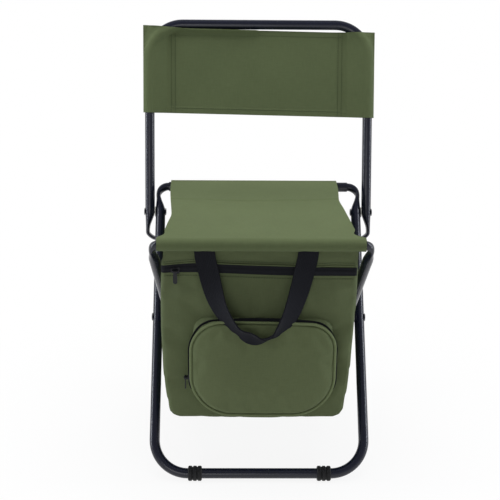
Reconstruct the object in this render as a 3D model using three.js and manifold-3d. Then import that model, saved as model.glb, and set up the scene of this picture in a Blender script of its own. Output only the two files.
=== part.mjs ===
// A folding stool with a backrest and a cooler bag between its legs. Millimetres, +Z up, front at -Y.
import * as THREE from "three";
import { mergeVertices } from "three/addons/utils/BufferGeometryUtils.js";
import Module from "manifold-3d";

const wasm = await Module();
wasm.setup();

// Steel tube and fits
const tubeDiameter = 15;
const tubeWall = 1;
const fitGap = 0.3; // left between pieces that touch
const tubeSides = 10;

// Scissor legs, measured in the plane of each leg frame from the pivot
const legLean = 39.65; // degrees from upright, open
const legAbovePivot = 216;
const legBelowPivot = 238;
const frontLegHalfWidth = 154; // to the tube's centre
const legWasherThickness = 0.8;
const frontRailFlare = 15; // how much further apart the rear legs are at the front rail
const flareStart = 15; // above the pivot
const floorBend = 50;
const railBend = 16;
const railPlug = 26; // length of leg end inside a rail
const swagedDrop = 42; // below the rail, where the tube is round again
const swagedHalf = 3.5; // half thickness of the flattened leg just below its bend

// Rivets
const rivetDiameter = 6;
const rivetHeadDiameter = 13;
const rivetHeadHeight = 2.4;
const rivetRim = 0.7; // height of the head's upright edge
const rivetFlat = 5.8; // flat on top of the head
const washerDiameter = 16;

// Rubber feet
const footDiameter = 22;
const footLength = 20;
const footRibs = 3;
const footSides = 12; // one side lies flat on the floor
const footGroove = 1.4;
const footGrooveWidth = 2.1;
const footEdge = 0.8; // bevel at the ends

// Backrest
const backrestLean = 14.6; // degrees from upright
const backrestPivotDrop = 43; // below the rear rail, along the leg
const backrestRise = 292; // pivot to the top bar's centre
const backrestBend = 52;
const backrestWasherThickness = 1;
const tailHalf = 2.6; // half thickness of the flattened tail
const tailHalfWidth = 9.5;
const tailBend = 10;
const tailTaper = 26; // from the pivot down to where the tail is flat
const tabReach = 18.6; // from the side tube's centre inwards
const backrestClothHeight = 131;
const backrestClothDrop = 11; // its top edge below the top bar's centre
const backrestClothHalf = 1.2;
const backrestPocket = 50; // width of each sewn sleeve
const sleeveEase = 0.6; // between the tube and its sewn sleeve
const clothHem = 0.6; // fold beyond the tube at the outer edge

// Seat cloth
const sleeveCloth = 1.5;
const frontSleeveOver = 4.4; // each end past the front rail's
const rearSleeveShort = 9; // each end short of the rear rail's
const seatThickness = 2;
const seatCorner = 2; // front corners past the front sleeve
const seatWaist = 9; // how far the sides draw in halfway
const seatSag = 4;
const seatDrop = 0.6; // its top below the tops of the sleeves

// Cooler bag
const bagRailGap = 6.53; // between the bag and the sleeves in front and behind
const bagBottom = 86;
const bagPanel = 5; // padded panel thickness
const panelGap = 1; // panels below the seat cloth
const bagTopInset = 0.6; // each side inside the rear legs' centres
const bagBelly = 2.4; // control point of the bulging sides, outside them
const bagBottomInset = 7.6;
const bagCorner = 20;
const gussetWall = 4.5;
const gussetGap = 1.4; // between the gusset and the rivets
const gussetFlare = 6; // wider at the front and rear panels
const linerWall = 1.2;
const lidThickness = 4;

// Zips
const mainZipDrop = 48.9; // below the top of the bag's front
const zipWidth = 11.4;
const zipProud = 0.4;
const mainSliderInset = 17; // from the bag's left side
const sliderLength = 12;
const sliderWidth = 9;
const sliderThickness = 3.6;
const crownBar = 2;
const crownRise = 4.4; // bar's centre above the slider's face
const crownLeg = 1.6;
const crownLegHeight = 2.4;
const crownSink = 0.5; // legs run into the slider
const sliderNose = 5.4; // width of its narrow end
const pullKnuckle = 5;
const knuckleWall = 1.1;
const pullNeck = 3.3; // below the bar, where the pull starts to widen
const pullShoulder = 9; // below the bar, where it has its full width
const pullLength = 18;
const pullWidth = 6;
const pullThickness = 1.6;

// Front pocket
const pocketX = 3.2;
const pocketZ = 173;
const pocketWidth = 201;
const pocketHeight = 137.6;
const pocketDepth = 28;
const pocketCrown = 4;
const pocketCorner = 38;
const pocketLowCorner = 46;
const pocketEdge = 10; // how far the rounded front edge reaches in
const pocketWall = 2;
const pipingRadius = 1.8;
const pipingBack = 4; // behind the pocket's front edge
const pocketZipWidth = 12;
const pocketZipThickness = 1.2;
const pocketZipDrop = 22; // how far the zip runs down each side below the pocket's middle
const pocketSliderDrop = 16;

// Carry handle
const handleWidth = 29;
const handleBottomWidth = 23;
const handleThickness = 1.8;
const handleLeftX = -79;
const handleRightX = 65.5;
const handleDrop = 121;
const handleSwell = 36; // how far it hangs out over the pocket
const handleDip = 2; // powers that shape the loop: how square its bottom is,
const handleSpread = 0.75; // how soon its sides part,
const handleLean = 0.8; // and how soon it swells

// Sizes that follow from those above
const tubeRadius = tubeDiameter / 2;
const lean = THREE.MathUtils.degToRad(legLean);
const footReach = (footDiameter / 2) * Math.cos(Math.PI / footSides); // bar's centre to the floor
const pivotHeight = legBelowPivot * Math.cos(lean) + footReach;
const rearLegHalfWidth = frontLegHalfWidth - tubeDiameter - legWasherThickness - 2 * fitGap;
const backrestHalfWidth = frontLegHalfWidth + tubeDiameter + backrestWasherThickness + 2 * fitGap;
const railY = legAbovePivot * Math.sin(lean);
const railHeight = pivotHeight + legAbovePivot * Math.cos(lean);
const sleeveRadius = tubeRadius + fitGap + sleeveCloth;
const rearLegTop = rearLegHalfWidth + frontRailFlare;
const frontLegTop = frontLegHalfWidth + tubeRadius - swagedHalf; // its outer side stays straight
const frontSleeveHalf = rearLegTop - railBend + frontSleeveOver;
const rearSleeveHalf = frontLegTop - railBend - rearSleeveShort;
const pivotAlongLeg = legAbovePivot - backrestPivotDrop;
const seatTop = railHeight + sleeveRadius - seatDrop;
const bagFront = sleeveRadius + bagRailGap - railY;
const panelInner = -bagFront - bagPanel;
const bagTopHalf = rearLegHalfWidth - bagTopInset;
const bagBellyHalf = rearLegHalfWidth + bagBelly;
const bagBottomHalf = rearLegHalfWidth - bagBottomInset;
const gussetHalf = rearLegHalfWidth - tubeRadius - fitGap - rivetHeadHeight - gussetGap;
const panelTop = seatTop - seatThickness - panelGap;
const lidTop = seatTop - seatThickness - seatSag - fitGap;
const mainZipHeight = panelTop - mainZipDrop;
const zipBottom = mainZipHeight - zipWidth / 2;
const zipTop = mainZipHeight + zipWidth / 2;
const zipFace = bagFront - zipProud;
const mainSliderX = mainSliderInset - bagTopHalf;
const backrestClothTop = backrestRise - backrestClothDrop;
const backrestClothBottom = backrestClothTop - backrestClothHeight;

const looks = {
  steel: { color: 0x24252b, roughness: 0.38, metalness: 0.35 },
  rivet: { color: 0x3a3b40, roughness: 0.4, metalness: 0.8 },
  rubber: { color: 0x1b1b1d, roughness: 0.75, metalness: 0 },
  cloth: { color: 0x4d573c, roughness: 0.9, metalness: 0 },
  piping: { color: 0x667052, roughness: 0.85, metalness: 0 },
  webbing: { color: 0x1e1f24, roughness: 0.9, metalness: 0 },
  foil: { color: 0xc9ccd0, roughness: 0.35, metalness: 0.7 },
  zipMetal: { color: 0x2b2c33, roughness: 0.45, metalness: 0.6 },
};

function addPiece(parent, name, geometry, look) {
  const mesh = new THREE.Mesh(geometry, new THREE.MeshStandardMaterial(looks[look]));
  mesh.name = name;
  parent.add(mesh);
  return mesh;
}

// Geometry to solid and back, for cuts and joins.
function toSolid(geometry) {
  const bare = geometry.clone();
  bare.deleteAttribute("normal");
  bare.deleteAttribute("uv");
  const merged = mergeVertices(bare, 1e-4);
  const vertProperties = new Float32Array(merged.attributes.position.array);
  const triVerts = new Uint32Array(merged.index.array);
  return new wasm.Manifold(new wasm.Mesh({ numProp: 3, vertProperties, triVerts }));
}

function toGeometry(solid) {
  const mesh = solid.getMesh();
  const geometry = new THREE.BufferGeometry();
  geometry.setAttribute("position", new THREE.BufferAttribute(mesh.vertProperties, 3));
  geometry.setIndex(new THREE.BufferAttribute(mesh.triVerts, 1));
  geometry.computeVertexNormals();
  return geometry;
}

function cut(geometry, ...tools) {
  return toGeometry(tools.reduce((solid, tool) => solid.subtract(toSolid(tool)), toSolid(geometry)));
}

function join(geometry, ...others) {
  return toGeometry(others.reduce((solid, other) => solid.add(toSolid(other)), toSolid(geometry)));
}

// A rod along X, centred at the given point.
function rodX(length, radius, x, y, z, sides = 14) {
  return new THREE.CylinderGeometry(radius, radius, length, sides).rotateZ(Math.PI / 2).translate(x, y, z);
}

// A revolved piece about X from a closed profile of [along, radius] points.
function turnedX(profile, sides = 16) {
  const points = profile.map(([along, radius]) => new THREE.Vector2(radius, along));
  return new THREE.LatheGeometry([...points, points[0]], sides).rotateZ(-Math.PI / 2);
}

function pipeX(length, outer, inner, sides = 16) {
  const half = length / 2;
  return turnedX([[-half, inner], [-half, outer], [half, outer], [half, inner]], sides);
}

// A closed surface from points and faces, turned outwards by the sign of the volume it encloses.
function closedSurface(points, faces) {
  let volume = 0;
  for (let i = 0; i < faces.length; i += 3) {
    const [a, b, c] = [points[faces[i]], points[faces[i + 1]], points[faces[i + 2]]];
    volume += a.dot(new THREE.Vector3().crossVectors(b, c));
  }
  const geometry = new THREE.BufferGeometry().setFromPoints(points);
  geometry.setIndex(volume < 0 ? faces.reverse() : faces);
  geometry.computeVertexNormals();
  return geometry;
}

// A closed surface through rings of equal point count. Looped rings meet end to end, and the end
// rings of others are capped, as a fan or, for a slab's ring, straight across from face to face.
function loft(rings, { looped = false, slabColumns = 0 } = {}) {
  const count = rings[0].length;
  const faces = [];
  const spans = looped ? rings.length : rings.length - 1;
  for (let i = 0; i < spans; i++) {
    const next = (i + 1) % rings.length;
    for (let k = 0; k < count; k++) {
      const a = i * count + k;
      const b = i * count + ((k + 1) % count);
      const c = next * count + ((k + 1) % count);
      const d = next * count + k;
      faces.push(a, b, c, a, c, d);
    }
  }
  const last = (rings.length - 1) * count;
  for (let k = 0; k < slabColumns; k++) {
    const across = count - 1 - k;
    faces.push(k, across, k + 1, k + 1, across, across - 1);
    faces.push(last + k, last + k + 1, last + across, last + k + 1, last + across - 1, last + across);
  }
  for (let k = 1; k < count - 1 && !looped && !slabColumns; k++) {
    faces.push(0, k + 1, k, last, last + k, last + k + 1);
  }
  return closedSurface(rings.flat(), faces);
}

// A cloth slab over a grid: at(u, v) gives its upper and lower point.
function clothSlab(at, columns, rows) {
  const rings = [];
  for (let j = 0; j <= rows; j++) {
    const pairs = Array.from({ length: columns + 1 }, (_, i) => at(i / columns, j / rows));
    rings.push([...pairs.map((pair) => pair[0]), ...pairs.map((pair) => pair[1]).reverse()]);
  }
  return loft(rings, { slabColumns: columns });
}

// Value between [position, ...values] stops, with the end values held past the ends.
function between(stops, position) {
  const next = stops.findIndex((stop) => stop[0] >= position);
  if (next === 0) return stops[0].slice(1);
  if (next < 0) return stops.at(-1).slice(1);
  const [low, high] = [stops[next - 1], stops[next]];
  const share = (position - low[0]) / (high[0] - low[0]);
  return low.slice(1).map((value, i) => value + (high[i + 1] - value) * share);
}

// A hollow tube bent in the X-Z plane. The path is its right half, and the section an ellipse by height.
function bentTube(halfPath, sectionStops) {
  const right = halfPath.getPoints(4);
  const left = right.slice(0, -1).map((p) => new THREE.Vector2(-p.x, p.y)).reverse();
  const points = [...right, ...left];
  const ringsOf = (inset) =>
    points.map((p, i) => {
      const before = points[Math.max(i - 1, 0)];
      const after = points[Math.min(i + 1, points.length - 1)];
      const along = after.clone().sub(before).normalize();
      const [inPlane, outOfPlane] = between(sectionStops, p.y);
      return Array.from({ length: tubeSides }, (_, k) => {
        const angle = (2 * Math.PI * (k + 0.5)) / tubeSides;
        const side = (inPlane - inset) * Math.cos(angle);
        const depth = (outOfPlane - inset) * Math.sin(angle);
        return new THREE.Vector3(p.x - along.y * side, depth, p.y + along.x * side);
      });
    });
  const outer = ringsOf(0);
  const inner = ringsOf(tubeWall).reverse();
  return loft([...outer, ...inner], { looped: true });
}

// Half sizes of the swaged leg end where it is pressed to a given half thickness: what it loses in
// the plane of the bend it gains across it.
const plugHalf = tubeRadius - tubeWall - fitGap;

function pressed(half) {
  return [half, Math.sqrt(2 * plugHalf ** 2 - half ** 2)];
}

// One leg frame: plugged into its rail, bent down, along the leg, and round to the floor bar.
// Its half widths are those at the rail's bend, at the shoulder where it is round again, and at the pivot.
function legTube(topHalf, shoulderHalf, pivotHalf) {
  const path = new THREE.Path();
  const top = legAbovePivot;
  const bottom = -legBelowPivot;
  path.moveTo(topHalf - railBend - railPlug, top);
  path.lineTo(topHalf - railBend, top);
  path.absarc(topHalf - railBend, top - railBend, railBend, Math.PI / 2, 0, true);
  path.lineTo(shoulderHalf, top - swagedDrop);
  path.lineTo(pivotHalf, flareStart);
  path.lineTo(pivotHalf, bottom + floorBend);
  path.absarc(pivotHalf - floorBend, bottom + floorBend, floorBend, 0, -Math.PI / 2, true);
  path.lineTo(0, bottom);
  const stops = [
    [top - swagedDrop, tubeRadius, tubeRadius],
    [top - railBend, ...pressed(swagedHalf)],
    [top - railBend / 2, ...pressed((swagedHalf + plugHalf) / 2)],
    [top, plugHalf, plugHalf],
  ];
  return bentTube(path, stops);
}

function drilled(geometry, halfWidth, height) {
  const radius = rivetDiameter / 2 + fitGap;
  const holes = [-1, 1].map((side) => rodX(3 * tubeDiameter, radius, side * halfWidth, 0, height));
  return cut(geometry, ...holes);
}

// A rivet from inside to outside, with a low domed head at both ends.
function rivet(inside, outside) {
  const shank = rivetDiameter / 2;
  const head = rivetHeadDiameter / 2;
  const flat = rivetFlat / 2;
  const profile = [
    [inside - rivetHeadHeight, 0],
    [inside - rivetHeadHeight, flat],
    [inside - rivetRim, head],
    [inside, head],
    [inside, shank],
    [outside, shank],
    [outside, head],
    [outside + rivetRim, head],
    [outside + rivetHeadHeight, flat],
    [outside + rivetHeadHeight, 0],
  ];
  return turnedX(profile, 12);
}

// A rubber foot: a sleeve round the floor bar with grooves between its ribs.
function foot() {
  const outer = footDiameter / 2;
  const bore = tubeRadius + fitGap;
  const half = footLength / 2;
  const pitch = footLength / footRibs;
  const groove = footGrooveWidth / 2;
  const profile = [[-half, bore], [-half, outer - footEdge], [-half + footEdge, outer]];
  for (let i = 1; i < footRibs; i++) {
    const middle = -half + i * pitch;
    profile.push([middle - groove, outer], [middle - groove, outer - footGroove]);
    profile.push([middle + groove, outer - footGroove], [middle + groove, outer]);
  }
  profile.push([half - footEdge, outer], [half, outer - footEdge], [half, bore]);
  return turnedX(profile, footSides);
}

// Both sides of a piece made for the right, named for the sitter's view from the front.
function addPair(parent, name, geometry, x, look, y = 0, z = 0) {
  addPiece(parent, name + "_right", geometry, look).position.set(x, y, z);
  const mirrored = geometry.clone().rotateZ(Math.PI);
  addPiece(parent, name + "_left", mirrored, look).position.set(-x, y, z);
}

const stool = new THREE.Group();

// Rear legs: rear floor bar to front rail, inside the front legs.
const rearLegs = new THREE.Group();
rearLegs.position.z = pivotHeight;
rearLegs.rotation.x = lean;
stool.add(rearLegs);
const rearLegShoulder = rearLegTop - (frontRailFlare * swagedDrop) / legAbovePivot;
const rearLegTube = legTube(rearLegTop, rearLegShoulder, rearLegHalfWidth);
addPiece(rearLegs, "rear_leg_tube", drilled(rearLegTube, rearLegHalfWidth, 0), "steel");

// Front legs: front floor bar to rear rail.
const frontLegs = new THREE.Group();
frontLegs.position.z = pivotHeight;
frontLegs.rotation.x = -lean;
stool.add(frontLegs);
const frontLegTube = legTube(frontLegTop, frontLegHalfWidth, frontLegHalfWidth);
const legDrilled = drilled(frontLegTube, frontLegHalfWidth, 0);
addPiece(frontLegs, "front_leg_tube", drilled(legDrilled, frontLegHalfWidth, pivotAlongLeg), "steel");

for (const [group, rail, topHalf, sleeve, sleeveHalf] of [
  [rearLegs, "front_seat_rail", rearLegTop, "seat_front_sleeve", frontSleeveHalf],
  [frontLegs, "rear_seat_rail", frontLegTop, "seat_rear_sleeve", rearSleeveHalf],
]) {
  const railPipe = pipeX(2 * (topHalf - railBend), tubeRadius, tubeRadius - tubeWall);
  addPiece(group, rail, railPipe, "steel").position.z = legAbovePivot;
  const sleevePipe = pipeX(2 * sleeveHalf, sleeveRadius, tubeRadius + fitGap, 20);
  addPiece(group, sleeve, sleevePipe, "cloth").position.z = legAbovePivot;
}

for (const [group, name, halfWidth] of [
  [rearLegs, "rear_foot", rearLegHalfWidth],
  [frontLegs, "front_foot", frontLegHalfWidth],
]) {
  const x = halfWidth - floorBend - footLength / 2;
  const level = foot().rotateX(Math.PI / footSides - group.rotation.x);
  addPiece(group, name + "_right", level, "rubber").position.set(x, 0, -legBelowPivot);
  addPiece(group, name + "_left", level, "rubber").position.set(-x, 0, -legBelowPivot);
}

// Scissor pivots, at the height where the legs cross.
const legRivet = rivet(rearLegHalfWidth - tubeRadius - fitGap, frontLegHalfWidth + tubeRadius + fitGap);
addPair(stool, "leg_rivet", legRivet, 0, "rivet", 0, pivotHeight);
const legWasher = pipeX(legWasherThickness, washerDiameter / 2, rivetDiameter / 2 + fitGap);
const legWasherX = frontLegHalfWidth - tubeRadius - fitGap - legWasherThickness / 2;
addPair(stool, "leg_washer", legWasher, legWasherX, "rivet", 0, pivotHeight);

// Backrest pivots, carried by the front legs.
const backRivet = rivet(frontLegHalfWidth - tubeRadius - fitGap, backrestHalfWidth + tubeRadius + fitGap);
addPair(frontLegs, "backrest_rivet", backRivet, 0, "rivet", 0, pivotAlongLeg);
const backWasher = pipeX(backrestWasherThickness, washerDiameter / 2, rivetDiameter / 2 + fitGap);
const backWasherX = frontLegHalfWidth + tubeRadius + fitGap + backrestWasherThickness / 2;
addPair(frontLegs, "backrest_washer", backWasher, backWasherX, "rivet", 0, pivotAlongLeg);

// Backrest: its tab lies behind the front leg and stops it from leaning back.
const backrest = new THREE.Group();
const backLean = THREE.MathUtils.degToRad(backrestLean);
backrest.position.y = pivotAlongLeg * Math.sin(lean);
backrest.position.z = pivotHeight + pivotAlongLeg * Math.cos(lean);
backrest.rotation.x = -backLean;
stool.add(backrest);

const toLeg = lean - backLean; // from the backrest's line to the leg's
const tabTop = (tubeRadius + fitGap + tailHalfWidth * Math.cos(toLeg)) / Math.sin(toLeg);
const tabHeight = -(tabTop + tailHalf);
const backrestPath = new THREE.Path();
backrestPath.moveTo(backrestHalfWidth - tabReach, tabHeight);
backrestPath.lineTo(backrestHalfWidth - tailBend, tabHeight);
const tailBendEnd = tabHeight + tailBend;
backrestPath.absarc(backrestHalfWidth - tailBend, tailBendEnd, tailBend, -Math.PI / 2, 0, false);
backrestPath.lineTo(backrestHalfWidth, -tailTaper);
backrestPath.lineTo(backrestHalfWidth, 0);
backrestPath.lineTo(backrestHalfWidth, backrestRise - backrestBend);
const topBendX = backrestHalfWidth - backrestBend;
backrestPath.absarc(topBendX, backrestRise - backrestBend, backrestBend, 0, Math.PI / 2, false);
backrestPath.lineTo(0, backrestRise);
const tailStops = [
  [-tailTaper, tailHalf, tailHalfWidth],
  [0, tubeRadius, tubeRadius],
];
const backrestTube = drilled(bentTube(backrestPath, tailStops), backrestHalfWidth, 0);
addPiece(backrest, "backrest_tube", backrestTube, "steel");

// Backrest cloth: flat in the middle, with a sewn sleeve round each side tube that follows the tube's bend.
const clothTubeRadius = tubeRadius + sleeveEase + backrestClothHalf;
const clothEdge = backrestHalfWidth + clothTubeRadius + clothHem;
const clothSeam = clothEdge - backrestPocket;
const bendStart = backrestRise - backrestBend;

// Across one sleeve at a height: [x, half thickness] from the seam, round the tube, to the outer edge.
// Over the tube it is a round cap, and beside the tube a tent down to the seam and to the edge.
function sleeveRow(height, inset) {
  const rise = Math.max(height - bendStart, 0);
  const round = clothTubeRadius - inset;
  const bendX = (radius) => topBendX + Math.sqrt(radius ** 2 - rise ** 2);
  const tubeX = bendX(backrestBend);
  const seam = clothSeam + inset;
  const edge = clothEdge - inset;
  const flat = inset ? backrestClothHalf / 4 : backrestClothHalf;
  const steps = 8;
  const row = [[seam, flat]];
  for (let k = 0; k <= steps; k++) {
    const angle = Math.PI * (1 - k / steps);
    const x = bendX(backrestBend + round * Math.cos(angle));
    const share = x < tubeX ? (x - seam) / (tubeX - seam) : (edge - x) / (edge - tubeX);
    row.push([x, Math.max(round * Math.sin(angle), round * share, flat)]);
  }
  return [...row, [edge, flat]];
}

// The cloth between its heights, from rows of places across it.
function backrestSheet(low, high, placesAt) {
  const bendRows = 6;
  const lastTurn = Math.asin((high - bendStart) / backrestBend);
  const turns = Array.from({ length: bendRows + 1 }, (_, k) => (lastTurn * k) / bendRows);
  const heights = turns.map((turn) => bendStart + backrestBend * Math.sin(turn));
  const rows = [low, ...heights].map((height) => placesAt(height).map(([x, half]) => ({ x, half, height })));
  const rings = rows.map((row) => [
    ...row.map(({ x, half, height }) => new THREE.Vector3(x, -half, height)),
    ...row.map(({ x, half, height }) => new THREE.Vector3(x, half, height)).reverse(),
  ]);
  return loft(rings, { slabColumns: rows[0].length - 1 });
}

const mirrorRow = (row) => row.map(([x, half]) => [-x, half]).reverse();
const wholeRow = (height) => [...mirrorRow(sleeveRow(height, 0)), ...sleeveRow(height, 0)];
const hollowRow = (height) => sleeveRow(height, backrestClothHalf);
const hollowLow = backrestClothBottom - fitGap;
const hollowHigh = backrestClothTop + fitGap;
const sleeveHollows = [hollowRow, (height) => mirrorRow(hollowRow(height))].map((row) =>
  backrestSheet(hollowLow, hollowHigh, row),
);
const backrestBand = backrestSheet(backrestClothBottom, backrestClothTop, wholeRow);
addPiece(backrest, "backrest_cloth", cut(backrestBand, ...sleeveHollows), "cloth");

// Seat panel between the two sleeves, drawn in at the sides and sagging in the middle.
const seatEdge = Math.sqrt(sleeveRadius ** 2 - (seatTop - seatThickness - railHeight) ** 2) + fitGap;
const seatHalfDepth = railY - seatEdge;
const seatAt = (u, v) => {
  const waist = seatWaist * 4 * v * (1 - v);
  const half = (frontSleeveHalf + seatCorner) * (1 - v) + rearSleeveHalf * v - waist;
  const sag = seatSag * Math.sin(Math.PI * u) * Math.sin(Math.PI * v);
  const x = half * (2 * u - 1);
  const y = seatHalfDepth * (2 * v - 1);
  const z = seatTop - sag;
  return [new THREE.Vector3(x, y, z), new THREE.Vector3(x, y, z - seatThickness)];
};
addPiece(stool, "seat_panel", clothSlab(seatAt, 10, 8), "cloth");

// The outline of a bag panel between two heights: sides that bulge, and round corners at the bottom.
const sideCurve = new THREE.QuadraticBezierCurve(
  new THREE.Vector2(bagBottomHalf, bagBottom + bagCorner),
  new THREE.Vector2(bagBellyHalf, (bagBottom + panelTop) / 2),
  new THREE.Vector2(bagTopHalf, panelTop),
);
const sidePoints = sideCurve.getPoints(8);

function halfAt(height) {
  return between(sidePoints.map((p) => [p.y, p.x]), height)[0];
}

function panelShape(low, high, roundBottom) {
  const right = sidePoints.filter((p) => p.y > low && p.y < high);
  const shape = new THREE.Shape();
  if (roundBottom) {
    const corner = bagBottomHalf - bagCorner;
    shape.moveTo(-corner, low);
    shape.absarc(corner, low + bagCorner, bagCorner, -Math.PI / 2, 0, false);
  } else {
    shape.moveTo(-halfAt(low), low);
    shape.lineTo(halfAt(low), low);
  }
  right.forEach((p) => shape.lineTo(p.x, p.y));
  shape.lineTo(halfAt(high), high);
  shape.lineTo(-halfAt(high), high);
  right.reverse().forEach((p) => shape.lineTo(-p.x, p.y));
  if (roundBottom) {
    shape.absarc(-bagBottomHalf + bagCorner, low + bagCorner, bagCorner, Math.PI, 1.5 * Math.PI, false);
  }
  return shape;
}

// An X-Z outline made thick along Y, from front to back.
function plate(shape, front, thickness, curveSegments = 6) {
  const geometry = new THREE.ExtrudeGeometry(shape, { depth: thickness, bevelEnabled: false, curveSegments });
  return geometry.rotateX(Math.PI / 2).translate(0, front + thickness, 0);
}

const bag = new THREE.Group();
stool.add(bag);
const lowerFront = panelShape(bagBottom, zipBottom - fitGap, true);
addPiece(bag, "bag_front_panel", plate(lowerFront, bagFront, bagPanel), "cloth");
const upperFront = panelShape(zipTop + fitGap, panelTop, false);
addPiece(bag, "bag_front_band", plate(upperFront, bagFront, bagPanel), "cloth");
const rearPanel = panelShape(bagBottom, panelTop, true);
addPiece(bag, "bag_rear_panel", plate(rearPanel, panelInner, bagPanel), "cloth");
const zipShape = panelShape(zipBottom, zipTop, false);
addPiece(bag, "main_zip_tape", plate(zipShape, zipFace, bagPanel + zipProud), "webbing");

// A U of the bag's sides and bottom, or with no wall the space inside it.
function gussetShape(half, bottom, top, corner, wall) {
  const shape = new THREE.Shape();
  shape.moveTo(-half, top);
  shape.lineTo(-half, bottom + corner);
  shape.absarc(-half + corner, bottom + corner, corner, Math.PI, 1.5 * Math.PI, false);
  shape.absarc(half - corner, bottom + corner, corner, -Math.PI / 2, 0, false);
  shape.lineTo(half, top);
  if (wall) {
    const inner = half - wall;
    const bend = corner - wall;
    shape.lineTo(inner, top);
    shape.lineTo(inner, bottom + corner);
    shape.absarc(half - corner, bottom + corner, bend, 0, -Math.PI / 2, true);
    shape.absarc(-half + corner, bottom + corner, bend, 1.5 * Math.PI, Math.PI, true);
    shape.lineTo(-inner, top);
  }
  return shape;
}

// The gusset is pinched between the legs and widens towards the front and rear panels.
const gussetDepth = 2 * (panelInner - fitGap);
const gussetTop = lidTop - lidThickness - fitGap;
const gussetOutline = gussetShape(gussetHalf, bagBottom, gussetTop, bagCorner, gussetWall);
const gusset = new THREE.ExtrudeGeometry(gussetOutline, {
  depth: gussetDepth,
  bevelEnabled: false,
  curveSegments: 4,
  steps: 6,
});
gusset.rotateX(Math.PI / 2).translate(0, gussetDepth / 2, 0);
const gussetPoints = gusset.getAttribute("position");
for (let i = 0; i < gussetPoints.count; i++) {
  const x = gussetPoints.getX(i);
  const flare = gussetFlare * ((2 * gussetPoints.getY(i)) / gussetDepth) ** 4;
  gussetPoints.setX(i, x * (1 + flare / gussetHalf));
}
addPiece(bag, "bag_gusset", gusset, "cloth");

// Foil liner: an open tub inside the padded walls.
const linerHalf = gussetHalf - gussetWall - fitGap;
const linerBottom = bagBottom + gussetWall + fitGap;
const linerCorner = bagCorner - gussetWall;
const linerTop = gussetTop - fitGap;
const tubShape = gussetShape(linerHalf, linerBottom, linerTop, linerCorner, 0);
const tub = plate(tubShape, -gussetDepth / 2, gussetDepth);
const hollowShape = gussetShape(
  linerHalf - linerWall,
  linerBottom + linerWall,
  linerTop + linerWall,
  linerCorner - linerWall,
  0,
);
const hollowDepth = gussetDepth - 2 * linerWall;
addPiece(bag, "bag_liner", cut(tub, plate(hollowShape, -hollowDepth / 2, hollowDepth)), "foil");
const lid = new THREE.BoxGeometry(2 * gussetHalf, gussetDepth, lidThickness);
addPiece(bag, "bag_lid", lid.translate(0, 0, lidTop - lidThickness / 2), "cloth");

// The pocket's rounded outline about its middle, grown by an offset.
function pocketOutline(offset) {
  const corner = pocketCorner + offset;
  const right = pocketWidth / 2 - pocketCorner;
  const top = pocketHeight / 2 - pocketCorner;
  const lowCorner = pocketLowCorner + offset;
  const lowRight = pocketWidth / 2 - pocketLowCorner;
  const low = pocketLowCorner - pocketHeight / 2;
  const shape = new THREE.Shape();
  shape.absarc(right, top, corner, 0, Math.PI / 2, false);
  shape.absarc(-right, top, corner, Math.PI / 2, Math.PI, false);
  shape.absarc(-lowRight, low, lowCorner, Math.PI, 1.5 * Math.PI, false);
  shape.absarc(lowRight, low, lowCorner, 1.5 * Math.PI, 2 * Math.PI, false);
  return shape;
}

const pocket = new THREE.Group();
pocket.position.set(pocketX, 0, pocketZ);
bag.add(pocket);
const pocketBack = bagFront - fitGap;
const pocketFace = pocketBack - pocketDepth;

// Rings of the pocket's outline at growing depth: straight walls, then a rounded edge and a low crown.
function pocketForm(back, inset) {
  const ringAt = (offset, y) =>
    pocketOutline(offset)
      .getPoints(4)
      .slice(0, -1)
      .map((p) => new THREE.Vector3(p.x, y, p.y));
  const rings = [ringAt(-inset, back), ringAt(-inset, pocketFace + pocketCrown + inset)];
  for (const share of [0.35, 0.7, 1]) {
    const turn = (share * Math.PI) / 2;
    const inward = pocketEdge * (1 - Math.cos(turn));
    rings.push(ringAt(-inset - inward, pocketFace + inset + pocketCrown * (1 - Math.sin(turn))));
  }
  return loft(rings);
}

const pocketHollow = pocketForm(pocketBack + fitGap, pocketWall);
addPiece(pocket, "pocket_shell", cut(pocketForm(pocketBack, 0), pocketHollow), "cloth");

// Piping: a closed round cord along the pocket's front edge.
const pipingCentre = pipingRadius + fitGap;
const pipingPath = pocketOutline(pipingCentre).getPoints(4).slice(0, -1);
const pipingY = pocketFace + pocketCrown + pipingBack;
const pipingRings = pipingPath.map((p, i) => {
  const before = pipingPath.at(i - 1);
  const after = pipingPath[(i + 1) % pipingPath.length];
  const along = after.clone().sub(before).normalize();
  return Array.from({ length: 6 }, (_, k) => {
    const angle = (Math.PI * k) / 3;
    const out = pipingRadius * Math.cos(angle);
    const depth = pipingRadius * Math.sin(angle);
    return new THREE.Vector3(p.x + along.y * out, pipingY + depth, p.y - along.x * out);
  });
});
addPiece(pocket, "pocket_piping", loft(pipingRings, { looped: true }), "piping");

// Pocket zip: a tape round the gusset wall, up the left side, over the top and down the right.
const zipLow = -pocketZipDrop;
const zipCornerX = pocketWidth / 2 - pocketCorner;
const zipCornerZ = pocketHeight / 2 - pocketCorner;
const tapeInner = pocketCorner + fitGap;
const tapeOuter = tapeInner + pocketZipThickness;
const tape = new THREE.Shape();
tape.moveTo(zipCornerX + tapeOuter, zipLow);
tape.absarc(zipCornerX, zipCornerZ, tapeOuter, 0, Math.PI / 2, false);
tape.absarc(-zipCornerX, zipCornerZ, tapeOuter, Math.PI / 2, Math.PI, false);
tape.lineTo(-zipCornerX - tapeOuter, zipLow);
tape.lineTo(-zipCornerX - tapeInner, zipLow);
tape.absarc(-zipCornerX, zipCornerZ, tapeInner, Math.PI, Math.PI / 2, true);
tape.absarc(zipCornerX, zipCornerZ, tapeInner, Math.PI / 2, 0, true);
tape.lineTo(zipCornerX + tapeInner, zipLow);
const tapeFront = pipingY + pipingRadius + fitGap;
addPiece(pocket, "pocket_zip_tape", plate(tape, tapeFront, pocketZipWidth), "webbing");

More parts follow.
